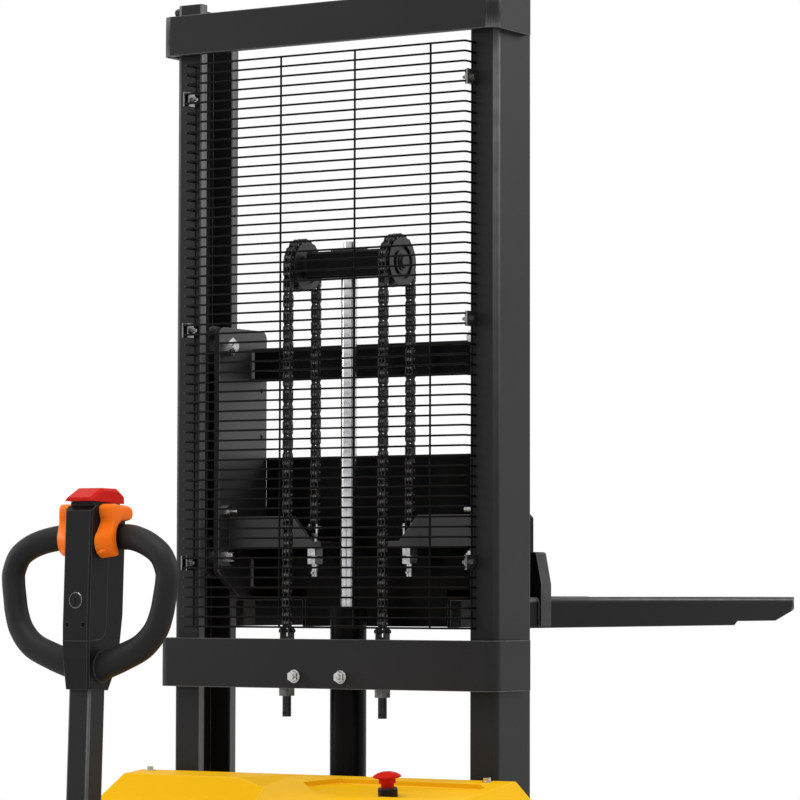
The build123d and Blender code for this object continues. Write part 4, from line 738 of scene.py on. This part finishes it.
def add_tube(builder, line):
    # A tube along a smooth line of (x, y, z, radius), turned as little as the line allows
    line = [Vector(p) for p in (line[0],) + line + (line[-1],)]
    curve = []
    for i in range(len(line) - 3):
        curve += [bow(*line[i:i + 4], k / TUBE_STEPS) for k in range(TUBE_STEPS)]
    curve.append(line[-1])
    centres = placed([p.to_3d() for p in curve])
    verts, way, side = [], None, None
    for i, centre in enumerate(centres):
        ahead = centres[min(i + 1, len(centres) - 1)] - centres[max(i - 1, 0)]
        ahead.normalize()
        side = way.rotation_difference(ahead) @ side if way else ahead.orthogonal().normalized()
        way = ahead
        up = way.cross(side)
        for k in range(TUBE_SIDES):
            a = 2 * math.pi * k / TUBE_SIDES
            verts.append(centre + curve[i].w * (math.cos(a) * side + math.sin(a) * up))
    builder.add(verts, rings_to_faces(len(curve), TUBE_SIDES))


grips = Builder()
for side in (1, -1):
    add_tube(grips, tuple((side * x, y, z, r) for x, y, z, r in GRIP_LINE))
grip_loops = grips.make("grip_loops", grip_rubber)
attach(grip_loops, "tiller")
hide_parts("tiller_grips")


# Floor, light and camera

bpy.ops.mesh.primitive_circle_add(vertices=FLOOR_SIDES, radius=FLOOR_R, fill_type="NGON",
                                  location=(0, 0, -FLOOR_DOWN))
floor = bpy.context.active_object
floor.name = "floor"
floor_paint = finish_of("floor_paint", grey(0.80), 0.6, vary=0.01, peel_depth=0.0)
floor.data.materials.append(floor_paint)

# The backdrop and mirrored surroundings are white, and the light from all sides is dimmer
world = bpy.data.worlds.new("studio")
scene.world = world
world.use_nodes = True
tree = world.node_tree
for node in list(tree.nodes):
    tree.nodes.remove(node)
rays = tree.nodes.new("ShaderNodeLightPath")
seen = rays.outputs["Is Camera Ray"]
for kind in ("Is Glossy Ray", "Is Transmission Ray"):
    seen = math_node(tree, "MAXIMUM", seen, rays.outputs[kind]).outputs["Value"]
mix = tree.nodes.new("ShaderNodeMixShader")
tree.links.new(seen, mix.inputs["Fac"])
for socket, strength in ((1, AMBIENT), (2, BACKDROP)):
    light = tree.nodes.new("ShaderNodeBackground")
    light.inputs["Color"].default_value = (1, 1, 1, 1)
    light.inputs["Strength"].default_value = strength
    tree.links.new(light.outputs["Background"], mix.inputs[socket])
out = tree.nodes.new("ShaderNodeOutputWorld")
tree.links.new(mix.outputs["Shader"], out.inputs["Surface"])


def area_light(name, place, target, size, power):
    data = bpy.data.lights.new(name, "AREA")
    data.shape = "RECTANGLE"
    data.size, data.size_y = size
    data.energy = power
    lamp = bpy.data.objects.new(name, data)
    scene.collection.objects.link(lamp)
    lamp.location = place
    lamp.rotation_euler = (Vector(target) - Vector(place)).to_track_quat("-Z", "Y").to_euler()


for lamp in LAMPS:
    area_light(*lamp)

camera_data = bpy.data.cameras.new("camera")
camera_data.lens = CAMERA_LENS
camera_data.sensor_width = CAMERA_SENSOR
camera = bpy.data.objects.new("camera", camera_data)
scene.collection.objects.link(camera)
camera.location = CAMERA_PLACE
turn, rise, roll = (math.radians(a) for a in (CAMERA_TURN, CAMERA_RISE, CAMERA_ROLL))
level = math.cos(rise)
look = Vector((-math.sin(turn) * level, math.cos(turn) * level, math.sin(rise)))
aim = look.to_track_quat("-Z", "Y").to_matrix() @ Matrix.Rotation(roll, 3, "Z")
camera.rotation_euler = aim.to_euler()
scene.camera = camera
scene.view_settings.view_transform = "Standard"
